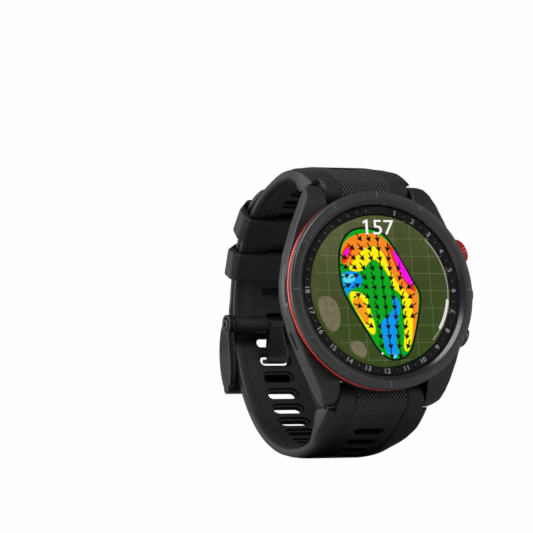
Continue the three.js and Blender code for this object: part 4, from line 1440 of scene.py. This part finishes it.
def build_keeper(name, body, angle):
    outline = [(11.8, 29.8), (13, 31.5), (13, 34.75), (9.6, 38.65)]
    outline += [(-x, r) for x, r in reversed(outline)]
    opening = [(11.35, 30.7), (11.35, 36.05), (10.95, 36.95)]
    opening += [(-x, r) for x, r in reversed(opening)]
    loop = prism(name + "_loop", outline, -3.5, 3.5, across_loop)
    bevel(loop, 0.55, 3)
    carve(loop, (), [prism("opening", opening, -6, 6, across_loop)])
    about_loop(loop, angle)
    soften(loop, 0.16, rounds=3)
    place(loop, body, "strap_silicone", name, material=M_SILICONE_PLAIN)


build_spring_bar("spring_bar_upper", "case", BAR_Z)
build_spring_bar("spring_bar_lower", "band", -BAR_Z)
build_buckle_pin()
build_frame()
build_tongue()
build_keeper("keeper_free", "keeper", 51)
build_keeper("keeper_fixed", "band", 31.2)


# ------------------------------------------------------------------ finishes for the CAD nodes that stay
M_LED = glow_material("led_green", (0.16, 1.0, 0.30), 0.2, 2.2, 900)
FINISH_BY_SLOT = {"case_polymer": M_CASE, "seal_rubber": M_SEAL, "steel": M_STEEL, "board": M_BOARD,
                  "cell": M_CELL, "gold": M_GOLD, "diode_grey": M_DIODE, "cover_polymer": M_COVER,
                  "dark_metal": M_DARK, "led_green": M_LED}


def finish_cad_nodes():
    slots = {part["node"]: part["material_slot"] for part in RECORD["subparts"]}
    for name, obj in frame["nodes"].items():
        material = FINISH_BY_SLOT.get(slots[name], M_CASE)
        if obj.data.materials:
            for i in range(len(obj.data.materials)):
                obj.data.materials[i] = material
        else:
            obj.data.materials.append(material)


finish_cad_nodes()


# ------------------------------------------------------------------ floor, light, camera
SKY_LIGHT, SKY_SEEN = 0.17, 0.99
FLOOR_GLOW = 0.7
FLOOR_HALF = 2  # metres


def build_stage():
    scene = bpy.context.scene
    world = bpy.data.worlds.new("studio")
    scene.world = world
    scene.view_settings.view_transform = "Standard"
    world.use_nodes = True
    background = world.node_tree.nodes["Background"]
    ray = node(world.node_tree, "LightPath")
    background.inputs[0].default_value = (1.0, 1.0, 1.0, 1.0)
    brightness = spread(world.node_tree, ray.outputs["Is Camera Ray"], 0, 1, SKY_LIGHT, SKY_SEEN)
    world.node_tree.links.new(brightness, background.inputs[1])
    low = CAD_BOX[0][2]
    half = FLOOR_HALF
    mesh = bpy.data.meshes.new("floor")
    mesh.from_pydata([(-half, -half, low), (half, -half, low), (half, half, low), (-half, half, low)], [],
                     [(0, 1, 2, 3)])
    floor = link_object("floor", mesh)
    mat, tree, shader = new_material("floor_paper")
    tone = mixed(tree, noise(tree, 40.0, 3.0), (0.58, 0.58, 0.58, 1.0), (0.62, 0.62, 0.62, 1.0))
    ray = node(tree, "LightPath")
    feed(tree, shader, Base_Color=tone, Roughness=0.8, Emission_Color=(1.0, 1.0, 1.0, 1.0),
         Emission_Strength=maths(tree, "MULTIPLY", ray.outputs["Is Camera Ray"], FLOOR_GLOW))
    clear = node(tree, "BsdfTransparent")
    seen = node(tree, "NewGeometry")
    mix_shaders(tree, seen.outputs["Backfacing"], shader, clear)
    mesh.materials.append(mat)


def area_light(name, location, target, size, power):
    data = bpy.data.lights.new(name, "AREA")
    data.shape = "RECTANGLE"
    data.size, data.size_y = size
    data.energy = power
    light = link_object(name, data)
    light.location = location
    light.rotation_euler = (Vector(target) - Vector(location)).to_track_quat("-Z", "Y").to_euler()


def build_camera():
    dial = Vector((0, BEZEL_LOW[1] * MM, 0))
    towards = Vector((-0.445, -0.88, -0.165)).normalized()
    up = Vector((-0.005, -0.182, 0.983))
    up = (up - towards * up.dot(towards)).normalized()
    right = up.cross(towards)
    data = bpy.data.cameras.new("camera")
    data.lens = 218
    data.sensor_width = 36
    data.clip_start = 0.01
    camera = link_object("camera", data)
    camera.location = dial + towards * 0.75
    target = dial - right * 0.0273 + up * 0.0053
    back = (camera.location - target).normalized()
    side_axis = up.cross(back).normalized()
    upright = back.cross(side_axis)
    camera.rotation_euler = Matrix((side_axis, upright, back)).transposed().to_euler()
    bpy.context.scene.camera = camera


build_stage()
area_light("key", (-0.25, -0.35, 0.45), (0, 0, 0), (0.4, 0.4), 4.2)
area_light("fill", (0.5, -0.4, 0.1), (0, 0, 0), (0.4, 0.6), 1.4)
area_light("rim", (-0.4, 0.35, 0.2), (0, 0.02, 0), (0.3, 0.5), 2.2)
build_camera()

bpy.context.view_layer.update()
